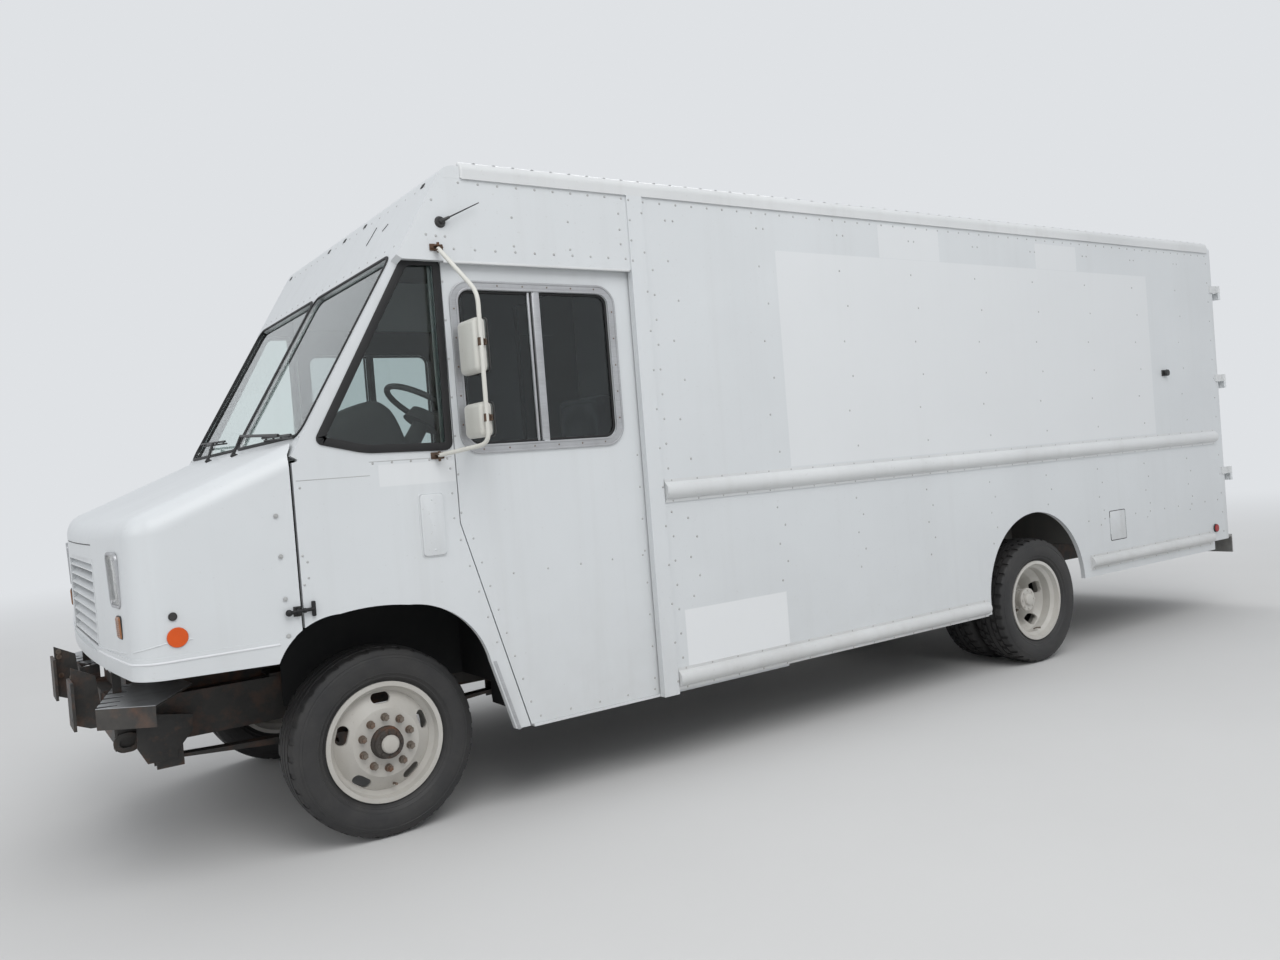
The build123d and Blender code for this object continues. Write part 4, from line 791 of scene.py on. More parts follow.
class TRUCK_OT_hood(bpy.types.Operator):
    """The hood's shell, its skin closed above the headlamps, with bolts, seam, creases, ridge beads in a
    painted highlight and a dark sheet of painted shade behind the grille
    """

    bl_idname = "truck.hood"
    bl_label = "Hood"

    def execute(self, context):
        shell = bmesh.new()
        shell.from_mesh(frame["nodes"]["hood"].data)
        bmesh.ops.remove_doubles(shell, verts=shell.verts, dist=1e-5)
        for side in (-1, 1):
            close_pocket(shell, side)
        skins["hood"] = BVHTree.FromBMesh(shell)
        add_piece("hood_shell", shell, "hood_paint", "hood_lid", replaces=("hood",), smooth=32)

        bolts = bmesh.new()
        face = on_side(-1, HOOD_SIDE_HALF)
        for spot in ((-0.436, 1.461), (-0.430, 1.297), (-0.426, 1.125), (-0.425, 0.975)):
            add_stud(bolts, face, spot, 0, 0.002, 0.0095, 0.0085)
            add_stud(bolts, face, spot, 0, 0.0045, 0.0050, 0.0045, 6)
        add_piece("hood_bolts", both_sides(bolts), "rivet_paint", "hood_lid")

        seam, creases, ridges, screen = (bmesh.new() for _ in range(4))
        add_tube(seam, [on_hood(half, 1.395) for half in row(-0.47, 0.47, 0.05)], 0.0022, 6)
        add_piece("hood_seam", seam, "seal_rubber", "hood_lid")
        for side in (-1, 1):
            line = [on_hood(side * half, 0.965 + (half - 0.52) * 0.04) for half in row(0.52, 0.98, 0.05)]
            line += [on_corner(side, turn, 0.986 + turn * 0.0004) for turn in row(20, 80, 10)]
            line += [on_corner(side, 90, 1.022, back) for back in (0.02, 0.05, 0.08)]
            add_tube(creases, line, 0.0030, 6)
            line = [on_hood(side * half, RIDGE_HEIGHT) for half in row(0.50, 1.00, 0.05)]
            line += [on_corner(side, turn, RIDGE_HEIGHT) for turn in row(10, 90, 10)]
            line += [on_corner(side, 90, RIDGE_HEIGHT, back) for back in row(0.05, 0.40, 0.05)]
            add_tube(ridges, line, 0.0042, 6)
        add_piece("hood_creases", creases, "hood_paint", "hood_lid")
        # the ridge beads take the brighter paint, which is a painted highlight
        add_piece("hood_ridge_highlights", ridges, "ridge_highlight_paint", "hood_lid")
        # a near-black sheet behind the grille: painted shade between its slats
        add_block(screen, at(-0.984, 0, 1.1375), (0.004, 0.93, 0.34), 0.001)
        add_piece("grille_shade_sheet", screen, "dark_parts_and_shade", "hood_lid")
        return {"FINISHED"}


def on_hood(half, height):
    """The point of the hood's front at a distance from the centre plane and a height."""
    return skins["hood"].ray_cast(at(-1.5, half, height), Vector((1, 0, 0)))[0]


def on_corner(side, turn, height, back=0.0):
    """A point of the hood's corner, looked at from a turn in degrees between front and side."""
    way = Vector((cos(radians(turn)), -side * sin(radians(turn)), 0))
    start = at(CORNER_MIDDLE[0] + back, side * CORNER_MIDDLE[1], height) - way * 0.5
    return skins["hood"].ray_cast(start, way)[0]


def sidewall_half(radius):
    """Half-width of the tyre's side at a radius: the arc of the CAD tyre."""
    (y0, r0), (y1, r1), (y2, r2) = (0.0897, 0.272), (0.124, 0.336), (0.110, 0.398)
    # the circle through three points of the side
    a, b = 2 * (y1 - y0), 2 * (r1 - r0)
    c = y1 * y1 + r1 * r1 - y0 * y0 - r0 * r0
    d, e = 2 * (y2 - y0), 2 * (r2 - r0)
    f = y2 * y2 + r2 * r2 - y0 * y0 - r0 * r0
    centre_r = (a * f - c * d) / (a * e - b * d)
    centre_y = (c - b * centre_r) / a
    bow = hypot(y0 - centre_y, r0 - centre_r)
    return centre_y + sqrt(bow * bow - (radius - centre_r) ** 2)


def tyre_profile(depth):
    """Half of a tyre's section, from the bead to the middle of the tread, as (half, radius)."""
    ridges = ((0.2800, 0.0), (0.2830, 0.0022), (0.2880, 0.0022), (0.2905, 0.0), (0.3020, 0.0),
              (0.3032, 0.0012), (0.3060, 0.0012), (0.3072, 0.0), (0.3240, 0.0), (0.3400, 0.0),
              (0.3540, 0.0), (0.3550, 0.0012), (0.3580, 0.0012), (0.3590, 0.0), (0.3720, 0.0),
              (0.3735, 0.0018), (0.3840, 0.0018), (0.3855, 0.0), (0.3960, 0.0))
    half = [(0.0877, 0.254), (0.0897, 0.272)]
    half += [(min(sidewall_half(radius) + proud, 0.1238), radius) for radius, proud in ridges]
    half += [(0.1075, 0.4045), (0.1030, 0.4098), (0.0965, 0.4128)]

    def crown(across):
        return TYRE_RADIUS - 0.005 * (across / 0.09) ** 2

    for centre, width in ((0.058, 0.010), (0.020, 0.009)):
        for across, sunk in ((centre + width / 2, 0.0), (centre + width * 0.38, depth),
                             (centre - width * 0.38, depth), (centre - width / 2, 0.0)):
            half.append((across, crown(across) - sunk))
    return half


# Depth of the shoulders' notches as a share of the grooves', for lugs and for ribs
LUG_NOTCH, RIB_NOTCH = 0.8, 0.35


def add_tyre(bm, hub, steps, depth, lugs):
    """One tyre round its hub: ribs, sidewall rings and notched or blocky shoulders."""
    half = tyre_profile(depth)
    loop = half + [(-y, radius) for y, radius in reversed(half)]
    part = bmesh.new()
    verts = [part.verts.new((0, y, radius)) for y, radius in loop]
    for first, second in zip(verts, verts[1:] + verts[:1]):
        part.edges.new((first, second))
    bmesh.ops.spin(part, geom=part.verts[:] + part.edges[:], cent=(0, 0, 0), axis=(0, 1, 0),
                   angle=tau, steps=steps, use_merge=True)
    bmesh.ops.remove_doubles(part, verts=part.verts, dist=1e-5)
    bmesh.ops.recalc_face_normals(part, faces=part.faces)
    sunk = []
    for face in part.faces:
        centre = face.calc_center_median()
        radius, across = hypot(centre.x, centre.z), abs(centre.y)
        turn = int((atan2(centre.z, centre.x) / tau % 1) * steps)
        shoulder = 0.064 < across < 0.108 and radius > 0.4
        rib = lugs and 0.024 < across < 0.053 and radius > 0.412
        shift = 0 if centre.y > 0 else 1
        if (shoulder and (turn + shift) % 3 == 0) or (rib and (turn + shift) % 3 == 1):
            sunk.append(face)
    notch = depth * (LUG_NOTCH if lugs else RIB_NOTCH)
    made = bmesh.ops.extrude_face_region(part, geom=sunk)["geom"]
    bmesh.ops.delete(part, geom=[f for f in sunk if f.is_valid], context="FACES_ONLY")
    for vert in only(bmesh.types.BMVert, made):
        radius = hypot(vert.co.x, vert.co.z)
        vert.co.x *= (radius - notch) / radius
        vert.co.z *= (radius - notch) / radius
    place_into(bm, part, lambda x, y, z: Vector((hub.x + x, hub.y + y, hub.z + z)))


class TRUCK_OT_tyres(bpy.types.Operator):
    """Tyres with grooved treads, shoulder blocks and sidewall rings"""

    bl_idname = "truck.tyres"
    bl_label = "Tyres"

    def execute(self, context):
        sizes = context.scene.truck_sizes
        for name, wheel, halves, lugs in (
            ("front", FRONT_WHEEL, (abs(FRONT_WHEEL.y),), False),
            ("rear", REAR_WHEEL, TWIN_HALVES, True),
        ):
            for side, word in SIDES:
                bm = bmesh.new()
                for half in halves:
                    hub = Vector((wheel.x, side * half, wheel.z))
                    add_tyre(bm, hub, sizes.tyre_steps, sizes.tread_depth, lugs)
                add_piece(f"tyre_detail_{name}_{word}", bm, "tyre_rubber", f"wheel_{name}_{word}",
                          replaces=(f"tyre_{name}_{word}",), smooth=28)
        return {"FINISHED"}


# Wheel nuts and hub bolts of one wheel
NUT_COUNT, HUB_BOLT_COUNT = 10, 8


def round_hub(share):
    """The way from a wheel's hub at a share of a whole turn."""
    return Vector((cos(tau * share), 0, sin(tau * share)))


def add_stack(bm, foot, out, stages, segments):
    """Tapers on one axis, through stages given as (radius, distance out)."""
    for (low, start), (high, end) in zip(stages, stages[1:]):
        add_rod(bm, foot + out * start, foot + out * end, low, high, segments)


class TRUCK_OT_wheel_nuts(bpy.types.Operator):
    """Wheel nuts, hubs, hub bolts and valve stems"""

    bl_idname = "truck.wheel_nuts"
    bl_label = "Wheel nuts and hubs"

    def execute(self, context):
        circle = context.scene.truck_sizes.nut_circle
        for name, wheel, face, reach, bolt_circle, valve_half, finish, ends in (
            ("front", FRONT_WHEEL, 0.976, 0.046, 0.052, 0.925, "cast_parts",
             ((0.064, 0.030), (0.064, 0.042), (0.060, 0.046))),
            ("rear", REAR_WHEEL, 0.896, 0.168, 0.063, 1.07, "wheel_paint",
             ((0.078, 0.150), (0.078, 0.165), (0.074, 0.168))),
        ):
            for side, word in SIDES:
                hub = Vector((wheel.x, side * face, wheel.z))
                out = Vector((0, side, 0))
                nuts, cast, cap, valve = (bmesh.new() for _ in range(4))
                for index in range(NUT_COUNT):
                    foot = hub + round_hub((index + 0.5) / NUT_COUNT) * circle
                    add_rod(nuts, foot - out * 0.001, foot + out * 0.005, 0.0185, 0.0170)
                    add_rod(nuts, foot + out * 0.004, foot + out * 0.023, 0.0162, segments=6)
                    add_rod(nuts, foot + out * 0.02, foot + out * 0.033, 0.0100, 0.0090, 12)
                stages = ((0.074, -0.004), (0.070, 0.012), (0.060, 0.018), (0.058, reach - 0.022), *ends)
                add_stack(cast, hub, out, stages, 32)
                for index in range(HUB_BOLT_COUNT):
                    spot = hub + round_hub(index / HUB_BOLT_COUNT) * bolt_circle
                    add_rod(cast, spot + out * (reach - 0.002), spot + out * (reach + 0.008), 0.0065,
                            segments=6)
                add_stack(cap, hub, out, ((0.040, reach), (0.040, reach + 0.006), (0.034, reach + 0.014),
                                          (0.018, reach + 0.019), (0.001, reach + 0.020)), 28)
                foot = Vector((wheel.x + 0.03, side * valve_half, wheel.z - 0.205))
                stem = [foot + out * away + Vector((0, 0, up)) for away, up in (
                    (0, 0), (0.02, 0.01), (0.045, 0.012), (0.041, 0.011), (0.053, 0.0125))]
                add_tube(valve, bend(stem[:3], 0.008), 0.0045, 10)
                add_rod(valve, *stem[3:], 0.006, segments=12)
                for piece, bm, look in (("wheel_nuts", nuts, "nut_steel"), ("hub", cast, finish),
                                        ("hub_cap", cap, "wheel_paint"), ("valve", valve, "nut_steel")):
                    add_piece(f"{piece}_{name}_{word}", bm, look, f"wheel_{name}_{word}")
        return {"FINISHED"}


# Rivet columns of the cargo side: pairs of rows on the posts inside
POST_FIRST = 1.613
POST_PITCH = 0.610
POST_COUNT = 9
POST_ZIGZAG = 0.024
POST_HEIGHTS = (2.57, 2.37, 2.165, 1.965, 1.765, 1.56, 1.26, 1.16, 1.06, 0.96, 0.86)
# Rear wheel arch: station and height of its middle, and the distance within which it has no rivets
ARCH_MIDDLE, ARCH_CLEAR = (4.484, 0.495), 0.56
# Outside of the post behind the cab door, and how far the side's rails stand off it
CAB_POST_HALF, RAIL_PROUD = 1.200, 0.006


def cargo_rivets():
    """Places of the rivets on one cargo side, as (station, height)."""
    spots = level_row(2.858, 1.46, 6.95, 0.102)
    for index in range(POST_COUNT):
        post = POST_FIRST + index * POST_PITCH
        spots += [(post - POST_ZIGZAG, 2.776), (post + POST_ZIGZAG, 2.776)]
        for place, height in enumerate(POST_HEIGHTS):
            if hypot(post - ARCH_MIDDLE[0], height - ARCH_MIDDLE[1]) >= ARCH_CLEAR:
                spots.append((post + POST_ZIGZAG * (1 if place % 2 else -1), height))
    spots += up_row(1.489, 2.52, 1.52, 0.13)
    spots += up_row(1.489, 1.30, 0.56, 0.13)
    spots += up_row(6.965, 2.80, 0.64, 0.15)
    spots += level_row(0.90, 5.1, 6.9, 0.2)
    return spots


class TRUCK_OT_rivets(bpy.types.Operator):
    """Rivets and screws of the body panels, rails, doors and roof"""

    bl_idname = "truck.rivets"
    bl_label = "Rivets"

    def execute(self, context):
        body = bmesh.new()
        side, cab, post = on_side(-1, BODY_HALF), on_side(-1, CAB_HALF), on_side(-1, CAB_POST_HALF)
        add_rivets(body, side, cargo_rivets())
        header = level_row(2.866, 0.46, 1.33, 0.102)
        header += level_row(2.569, 0.415, 1.33, 0.102)
        header += [(0.715, 2.729), (1.014, 2.729), (0.715, 2.597), (1.015, 2.597), (0.325, 2.780),
                   (0.288, 2.626), (0.334, 2.622), (0.377, 2.622), (1.307, 2.79), (1.307, 2.711),
                   (1.307, 2.64)]
        add_rivets(body, side, header)
        for heights, start, end in (((1.356, 1.459), 1.50, 6.88), ((0.412, 0.507), 1.50, 3.88),
                                    ((0.561, 0.653), 5.13, 6.73)):
            for height in heights:
                spots = level_row(height, start, end, 0.165)
                add_rivets(body, shifted(side, RAIL_PROUD), spots, 0.005, 0.002)
        corner = level_row(1.645, -0.02, 0.32, 0.085)
        corner += up_row(0.338, 2.46, 1.72, 0.148)
        corner += up_row(0.33, 1.60, 1.38, 0.11)
        corner += [(-0.332, 1.565), (-0.343, 1.289), (-0.325, 1.262), (-0.326, 1.197), (-0.345, 1.171)]
        corner += leaning_row(0.338, 1.28, 0.80, 0.12)
        add_rivets(body, cab, corner, 0.0055)
        add_rivets(body, post, up_row(1.44, 2.80, 0.45, 0.2) + up_row(1.366, 2.86, 2.56, 0.1))
        add_piece("body_rivets", both_sides(body), "rivet_paint")

        roof, cap = bmesh.new(), bmesh.new()
        spots = [(station, across) for across in (-1.175, 1.175) for station in row(0.55, 6.93, 0.1)]
        add_rivets(roof, on_roof_rail, spots, 0.009, 0.0036)
        add_piece("roof_edge_rivets", roof, "rail_paint")
        spots = [(across, up) for up in (1.050, 1.372) for across in row(-1.09, 1.09, 0.115)]
        spots += [(side * 1.125, up) for side in (-1, 1) for up in row(0.10, 0.95, 0.17)]
        add_rivets(cap, on_screen, spots, 0.0055)
        add_piece("cap_rivets", cap, "rivet_paint")

        for side, word in SIDES:
            door = bmesh.new()
            spots = up_row(0.366, 2.43, 1.40, 0.17)
            spots += level_row(1.10, 0.60, 1.32, 0.18)
            spots += level_row(0.425, 0.68, 1.33, 0.16)
            spots += leaning_row(0.400, 1.28, 0.50, 0.12)
            spots += up_row(1.335, 1.60, 0.48, 0.16)
            add_rivets(door, on_side(side, CAB_HALF), spots, 0.0055)
            add_piece(f"door_rivets_{word}", door, "rivet_paint", f"door_{word}")

            back = bmesh.new()
            spots = [(side * half, height) for half in (0.05, 1.11) for height in row(0.86, 2.60, 0.17)]
            spots += [(side * half, height) for half in row(0.13, 1.02, 0.15) for height in (0.84, 2.62)]
            add_rivets(back, on_back_door, spots, 0.0055)
            add_piece(f"back_door_rivets_{word}", back, "rivet_paint", f"back_door_{word}")
        return {"FINISHED"}


# Outline of the vent window's rubber, as (station, height)
VENT_OUTLINE = ((-0.265, 1.743), (-0.046, 1.689), (0.350, 1.681), (0.356, 2.534), (0.180, 2.530))


def door_window(inset):
    """Corners of a cab door's window, drawn in by a distance."""
    return rectangle(0.387 + inset, 1.265 - inset, 1.656 + inset, 2.439 - inset)


class TRUCK_OT_seals(bpy.types.Operator):
    """Rubber round the windscreen and vent windows, and metal frames round the door windows"""

    bl_idname = "truck.seals"
    bl_label = "Window seals and frames"

    def execute(self, context):
        seals = bmesh.new()
        side = on_side(-1, CAB_HALF)
        width = context.scene.truck_sizes.seal_width
        add_ring(seals, VENT_OUTLINE, width + 0.003, width, 0.007, side, 5)
        both_sides(seals)
        for hand in (-1, 1):
            low, high = sorted((hand * 0.003, hand * 1.117))
            add_ring(seals, rectangle(low, high, 0.100, 1.006), 0.070, 0.016, 0.006, on_screen, 8)
        add_piece("window_rubber", seals, "seal_rubber")

        posts = bmesh.new()
        add_block(posts, at(0.320, -CAB_HALF + 0.028, 2.110), (0.026, 0.010, 0.79), 0.002)
        add_piece("vent_window_posts", both_sides(posts), "post_grey")

        for hand, word in SIDES:
            place = on_side(hand, CAB_HALF + 0.003)
            glass = on_side(hand, CAB_HALF - 0.012)
            metal, rubber, screws = (bmesh.new() for _ in range(3))
            for inset, radius, width, thick in ((0, 0.10, 0.041, 0.003), (0, 0.10, 0.010, 0.006),
                                                (0.032, 0.068, 0.010, 0.006)):
                add_ring(metal, door_window(inset), radius, width, thick, place, 10)
            for left, right, thick in ((0.806, 0.846, 0.017), (0.785, 0.797, 0.010)):
                add_plate(metal, rectangle(left, right, 1.700, 2.395), 0, thick, glass)
            add_ring(rubber, door_window(0.043), 0.059, 0.012, 0.007, glass, 10)
            for left in (0.800, 0.846):
                add_plate(rubber, rectangle(left, left + 0.006, 1.702, 2.393), 0, 0.006, glass)
            spots = level_row(1.6765, 0.50, 1.15, 0.13) + level_row(2.4185, 0.50, 1.15, 0.13)
            spots += up_row(0.4075, 1.79, 2.31, 0.13) + up_row(1.2445, 1.79, 2.31, 0.13)
            add_rivets(screws, on_side(hand, CAB_HALF + 0.006), spots, 0.0045, 0.0018)
            for piece, bm, look in (("frame", metal, "frame_metal"), ("rubber", rubber, "seal_rubber"),
                                    ("screws", screws, "nut_steel")):
                add_piece(f"door_window_{piece}_{word}", bm, look, f"door_{word}")
        return {"FINISHED"}


# Planes of the nose lamps: station, half, height, turn and lean
HEADLAMP = (-1.000, 0.895, 1.263, radians(4.6), radians(2.0))
TURN_LAMP = (-0.9975, 0.930, 1.080, radians(4.8), radians(2.0))
HEADLAMP_GLASS = (-0.0735, 0.0735, -0.097, 0.097)
# Reflector and small lamp on the hood's side, and the lamp on the body's side, as (station, height)
REFLECTOR_SPOT, MARKER_SPOT, REAR_MARKER_SPOT = (-0.834, 1.036), (-0.845, 1.117), (6.836, 0.677)


class TRUCK_OT_lamps(bpy.types.Operator):
    """Headlamps, turn lamps, side reflectors, tail lamps and the bare lamp spots over the windscreen"""

    bl_idname = "truck.lamps"
    bl_label = "Lamps"

    def execute(self, context):
        bowls, bezels, lenses, ambers, dull, dark = (bmesh.new() for _ in range(6))
        for side in (-1, 1):
            face = on_nose(side, *HEADLAMP)
            add_ring(bezels, rectangle(-0.0865, 0.0865, -0.110, 0.110), 0.034, 0.013, 0.011, face)
            back = shifted(face, -0.040)
            add_plate(bowls, rectangle(-0.078, 0.078, -0.101, 0.101), 0.028, 0.004, back)
            add_ring(bowls, rectangle(*HEADLAMP_GLASS), 0.024, 0.004, 0.040, shifted(face, -0.037))
            add_stud(bowls, face, (0, 0), -0.038, -0.018, 0.012, 0.010)
            for across in row(-0.055, 0.055, 0.0137):
                add_block(lenses, face(across, 0, 0.0015), (0.002, 0.006, 0.186), 0.0008,
                          Matrix.Rotation(side * -HEADLAMP[3], 4, "Z"), 1)
            add_plate(lenses, rectangle(*HEADLAMP_GLASS), 0.022, 0.005, shifted(face, 0.001))
            low = on_nose(side, *TURN_LAMP)
            add_plate(dull, rectangle(-0.033, 0.033, -0.043, 0.043), 0.012, 0.010, low, 0.45)
            for height in row(-0.032, 0.032, 0.008):
                outline = rectangle(-0.027, 0.027, height - 0.0025, height + 0.0025)
                add_plate(dull, outline, 0, 0.0115, low, 0)
            add_ring(dark, rectangle(-0.036, 0.036, -0.046, 0.046), 0.014, 0.004, 0.006, low)
            disc, small = on_side(side, CAB_HALF + 0.0053), on_side(side, CAB_HALF + 0.0045)
            for radius in (0.0385, 0.0300, 0.0225, 0.0150, 0.0075):
                top = 0.0032 - radius * 0.04
                add_stud(ambers, disc, REFLECTOR_SPOT, -0.002, top, radius, radius * 0.94, 40)
            add_stud(dull, small, MARKER_SPOT, -0.002, 0.002, 0.010, 0.006, 20)
            for radius, proud in ((0.0165, 0.003), (0.0125, 0.006)):
                add_stud(dark, small, MARKER_SPOT, -0.002, proud, radius, radius * 0.9, 24)
        add_piece("headlamp_bowls", bowls, "lamp_chrome", "hood_lid", replaces=("headlamps",))
        add_piece("headlamp_bezels", bezels, "frame_metal", "hood_lid")
        add_piece("headlamp_lenses", lenses, "lens_clear", "hood_lid")
        add_piece("amber_reflectors", ambers, "lamp_amber", "hood_lid", replaces=("turn_lamps",))
        add_piece("turn_lamp_lenses", dull, "amber_dull", "hood_lid")
        add_piece("lamp_rims", dark, "trim_black", "hood_lid")

        spots, reds, rims = (bmesh.new() for _ in range(3))
        for across in (-1.05, -0.28, 0.043, 0.314, 1.095):
            outline = rectangle(across - 0.020, across + 0.020, 1.375, 1.401)
            add_plate(spots, outline, 0.010, 0.0018, on_screen)
        for crack in (((-0.562, 1.301), (-0.553, 1.250), (-0.539, 1.200)),
                      ((-0.760, 1.265), (-0.719, 1.236))):
            add_tube(spots, [on_screen(*spot, 0.0005) for spot in crack], 0.0022, 6)
        add_piece("bare_lamp_spots", spots, "seal_rubber")

        for side in (-1, 1):
            for spot in ((side * 1.14, 0.660), (side * 1.14, 2.760)):
                for radius, out in ((0.035, 0.0255), (0.027, 0.0265), (0.018, 0.0272), (0.009, 0.0277)):
                    add_stud(reds, on_tail, spot, 0.02, out, radius, radius * 0.9, 28)
                add_stud(rims, on_tail, spot, 0.001, 0.019, 0.0415, 0.0405, 32)
            marker = on_side(side, BODY_HALF)
            add_stud(reds, marker, REAR_MARKER_SPOT, 0.012, 0.0165, 0.028, 0.024, 28)
            add_stud(rims, marker, REAR_MARKER_SPOT, 0.001, 0.011, 0.0325, 0.0315, 28)
        add_piece("red_lenses", reds, "lamp_red")
        add_piece("red_lamp_rims", rims, "trim_black")
        return {"FINISHED"}


class TRUCK_OT_latches(bpy.types.Operator):
    """Rubber T latches that hold the hood down at the cab's corners"""

    bl_idname = "truck.latches"
    bl_label = "Hood latches"

    def execute(self, context):
        side = on_side(-1, CAB_HALF)
        straps = bmesh.new()
        add_block(straps, side(-0.318, 1.072, 0.008), (0.016, 0.014, 0.062), 0.004)
        strap = ((-0.315, 1.072, 0.012), (-0.345, 1.071, 0.017), (-0.392, 1.069, 0.018),
                 (-0.412, 1.068, 0.018))
        add_tube(straps, [side(*spot) for spot in strap], 0.0075)
        for station, radius in ((-0.352, 0.010), (-0.380, 0.011)):
            add_rod(straps, side(station, 1.0705, 0.018), side(station - 0.010, 1.070, 0.018), radius)
        made = bmesh.ops.create_uvsphere(straps, u_segments=16, v_segments=10, radius=0.014)
        bmesh.ops.translate(straps, vec=side(-0.420, 1.068, 0.018), verts=made["verts"])
        add_piece("hood_latch_straps", both_sides(straps), "seal_rubber")
        hooks = bmesh.new()
        add_block(hooks, side(-0.384, 1.069, 0.0025), (0.030, 0.004, 0.040), 0.001)
        for height in (1.051, 1.087):
            add_block(hooks, side(-0.384, height, 0.008), (0.014, 0.015, 0.004), 0.001)
        add_piece("hood_latch_hooks", both_sides(hooks), "black_steel", "hood_lid")
        return {"FINISHED"}


# Places on the body's side, as (station, height)
ANTENNA_SPOT, HOLDBACK_SPOT = (0.359, 2.684), (6.226, 1.930)


class TRUCK_OT_side_fittings(bpy.types.Operator):
    """Antenna, filler flap, door holdbacks, quarter covers, panel lines, arch strips and drip rails"""

    bl_idname = "truck.side_fittings"
    bl_label = "Side fittings"

    def execute(self, context):
        side, cab = on_side(-1, BODY_HALF), on_side(-1, CAB_HALF)
        antenna = bmesh.new()
        add_stud(antenna, side, ANTENNA_SPOT, 0.0, 0.012, 0.026, 0.020, 24)
        for start, end, radius, end_radius, segments in (
            ((*ANTENNA_SPOT, 0.010), (0.368, 2.689, 0.022), 0.012, 0.009, 16),
            ((0.362, 2.686, 0.018), (0.395, 2.703, 0.024), 0.009, 0.006, 16),
            ((0.395, 2.703, 0.024), (0.540, 2.7755, 0.0295), 0.0035, 0.0022, 10),
        ):
            add_rod(antenna, side(*start), side(*end), radius, end_radius, segments)
        add_piece("antenna", antenna, "trim_black")

        flap, gap = bmesh.new(), bmesh.new()
        add_plate(flap, rectangle(5.362, 5.556, 0.737, 0.943), 0.012, 0.0025, side)
        add_rod(flap, side(5.361, 0.78, 0.002), side(5.361, 0.90, 0.002), 0.004, segments=12)
        add_piece("filler_flap", flap, "body_paint")
        add_ring(gap, rectangle(5.357, 5.561, 0.732, 0.948), 0.014, 0.005, 0.0012, side)
        add_piece("filler_flap_gap", gap, "seal_rubber")

        holdback, cover, lines, strip, drip = (bmesh.new() for _ in range(5))
        add_block(holdback, side(*HOLDBACK_SPOT, 0.004), (0.072, 0.008, 0.046), 0.003)
        add_stud(holdback, side, HOLDBACK_SPOT, 0.006, 0.024, 0.017, 0.015, 20)
        add_stud(holdback, side, HOLDBACK_SPOT, 0.022, 0.034, 0.025, 0.023, 24)
        add_piece("door_holdbacks", both_sides(holdback), "trim_black")

        add_plate(cover, rectangle(0.174, 0.281, 1.225, 1.495), 0.016, 0.010, cab, 0.45)
        add_ring(cover, rectangle(0.168, 0.287, 1.219, 1.501), 0.018, 0.006, 0.003, cab)
        add_rivets(cover, shifted(cab, 0.010), [(0.2275, 1.25), (0.2275, 1.47)], 0.005)
        add_piece("quarter_covers", both_sides(cover), "body_paint")

        for start, end, height in ((-0.345, -0.036, 1.595), (-0.036, 0.340, 1.652)):
            add_tube(lines, [cab(start, height, 0), cab(end, height, 0)], 0.0013, 6)
        add_piece("cab_panel_lines", both_sides(lines), "rivet_paint")

        add_plate(strip, ((0.462, 0.716), (0.478, 0.716), (0.575, 0.386), (0.559, 0.386)), 0, 0.003, cab)
        add_piece("arch_strips", both_sides(strip), "frame_metal")

        add_block(drip, side(0.855, 2.512, -0.006), (0.99, 0.014, 0.012), 0.003)
        add_piece("header_drip_rails", both_sides(drip), "rail_paint")
        return {"FINISHED"}


# Top of the front step plates, and the gusset of a front hanger, as (station, height)
STEP_TOP = 0.7722
GUSSET_OUTLINE = ((-0.920, 0.655), (-0.927, 0.507), (-0.891, 0.434), (-0.771, 0.434),
                  (-0.767, 0.471), (-0.744, 0.497), (-0.702, 0.543), (-0.697, 0.615))


class TRUCK_OT_front_fittings(bpy.types.Operator):
    """Slotted sheets on the front step plates over near-black plates of painted shade, and bolts and
    gussets of the frame's front
    """

    bl_idname = "truck.front_fittings"
    bl_label = "Front fittings"

    def execute(self, context):
        sheets, bolts, plates, notches = (bmesh.new() for _ in range(4))
        # the slotted front edge of a sheet's outline, from its inner to its outer end
        inner, outer = Vector((-0.985, 0.400)), Vector((-1.105, 0.886))
        along = (outer - inner).normalized()
        inward = Vector((along.y, -along.x))
        outline = [inner]
        for share in (0.08, 0.36, 0.58, 0.78, 0.955):
            notch = inner.lerp(outer, share)
            outline += [notch - along * 0.021, notch - along * 0.012 + inward * 0.075,
                        notch + along * 0.012 + inward * 0.075, notch + along * 0.021]
        outline += [outer, Vector((-0.914, 1.034)), Vector((-0.715, 0.663)), Vector((-0.745, 0.400))]
        under = (inner, outer, outer + inward * 0.09, inner + inward * 0.09)
        for side in (-1, 1):
            def on_step(station, half, up=0.0, side=side):
                return at(station, side * half, STEP_TOP + up)

            add_plate(sheets, outline, 0, 0.0022, on_step, 0)
            # a near-black plate under each sheet's slotted edge: painted shade seen through the slots
            add_plate(notches, under, 0, 0.0008, shifted(on_step, -0.001), 0)
            horn, hanger = on_side(side, 0.4135), on_side(side, 0.508)
            for spot in ((-1.124, 0.858), (-1.124, 0.833), (-1.120, 0.742), (-1.075, 0.725),
                         (-1.000, 0.668), (-0.965, 0.640)):
                add_stud(bolts, horn, spot, 0, 0.004, 0.0125, 0.0115)
                add_stud(bolts, horn, spot, 0, 0.013, 0.0085, segments=6)
            add_plate(plates, GUSSET_OUTLINE, 0, 0.008, hanger)
        add_piece("step_sheets", sheets, "step_sheet")
        add_piece("step_notch_shades", notches, "dark_parts_and_shade")
        add_piece("horn_bolts", bolts, "nut_steel")
        add_piece("hanger_gussets", plates, "black_steel")
        return {"FINISHED"}


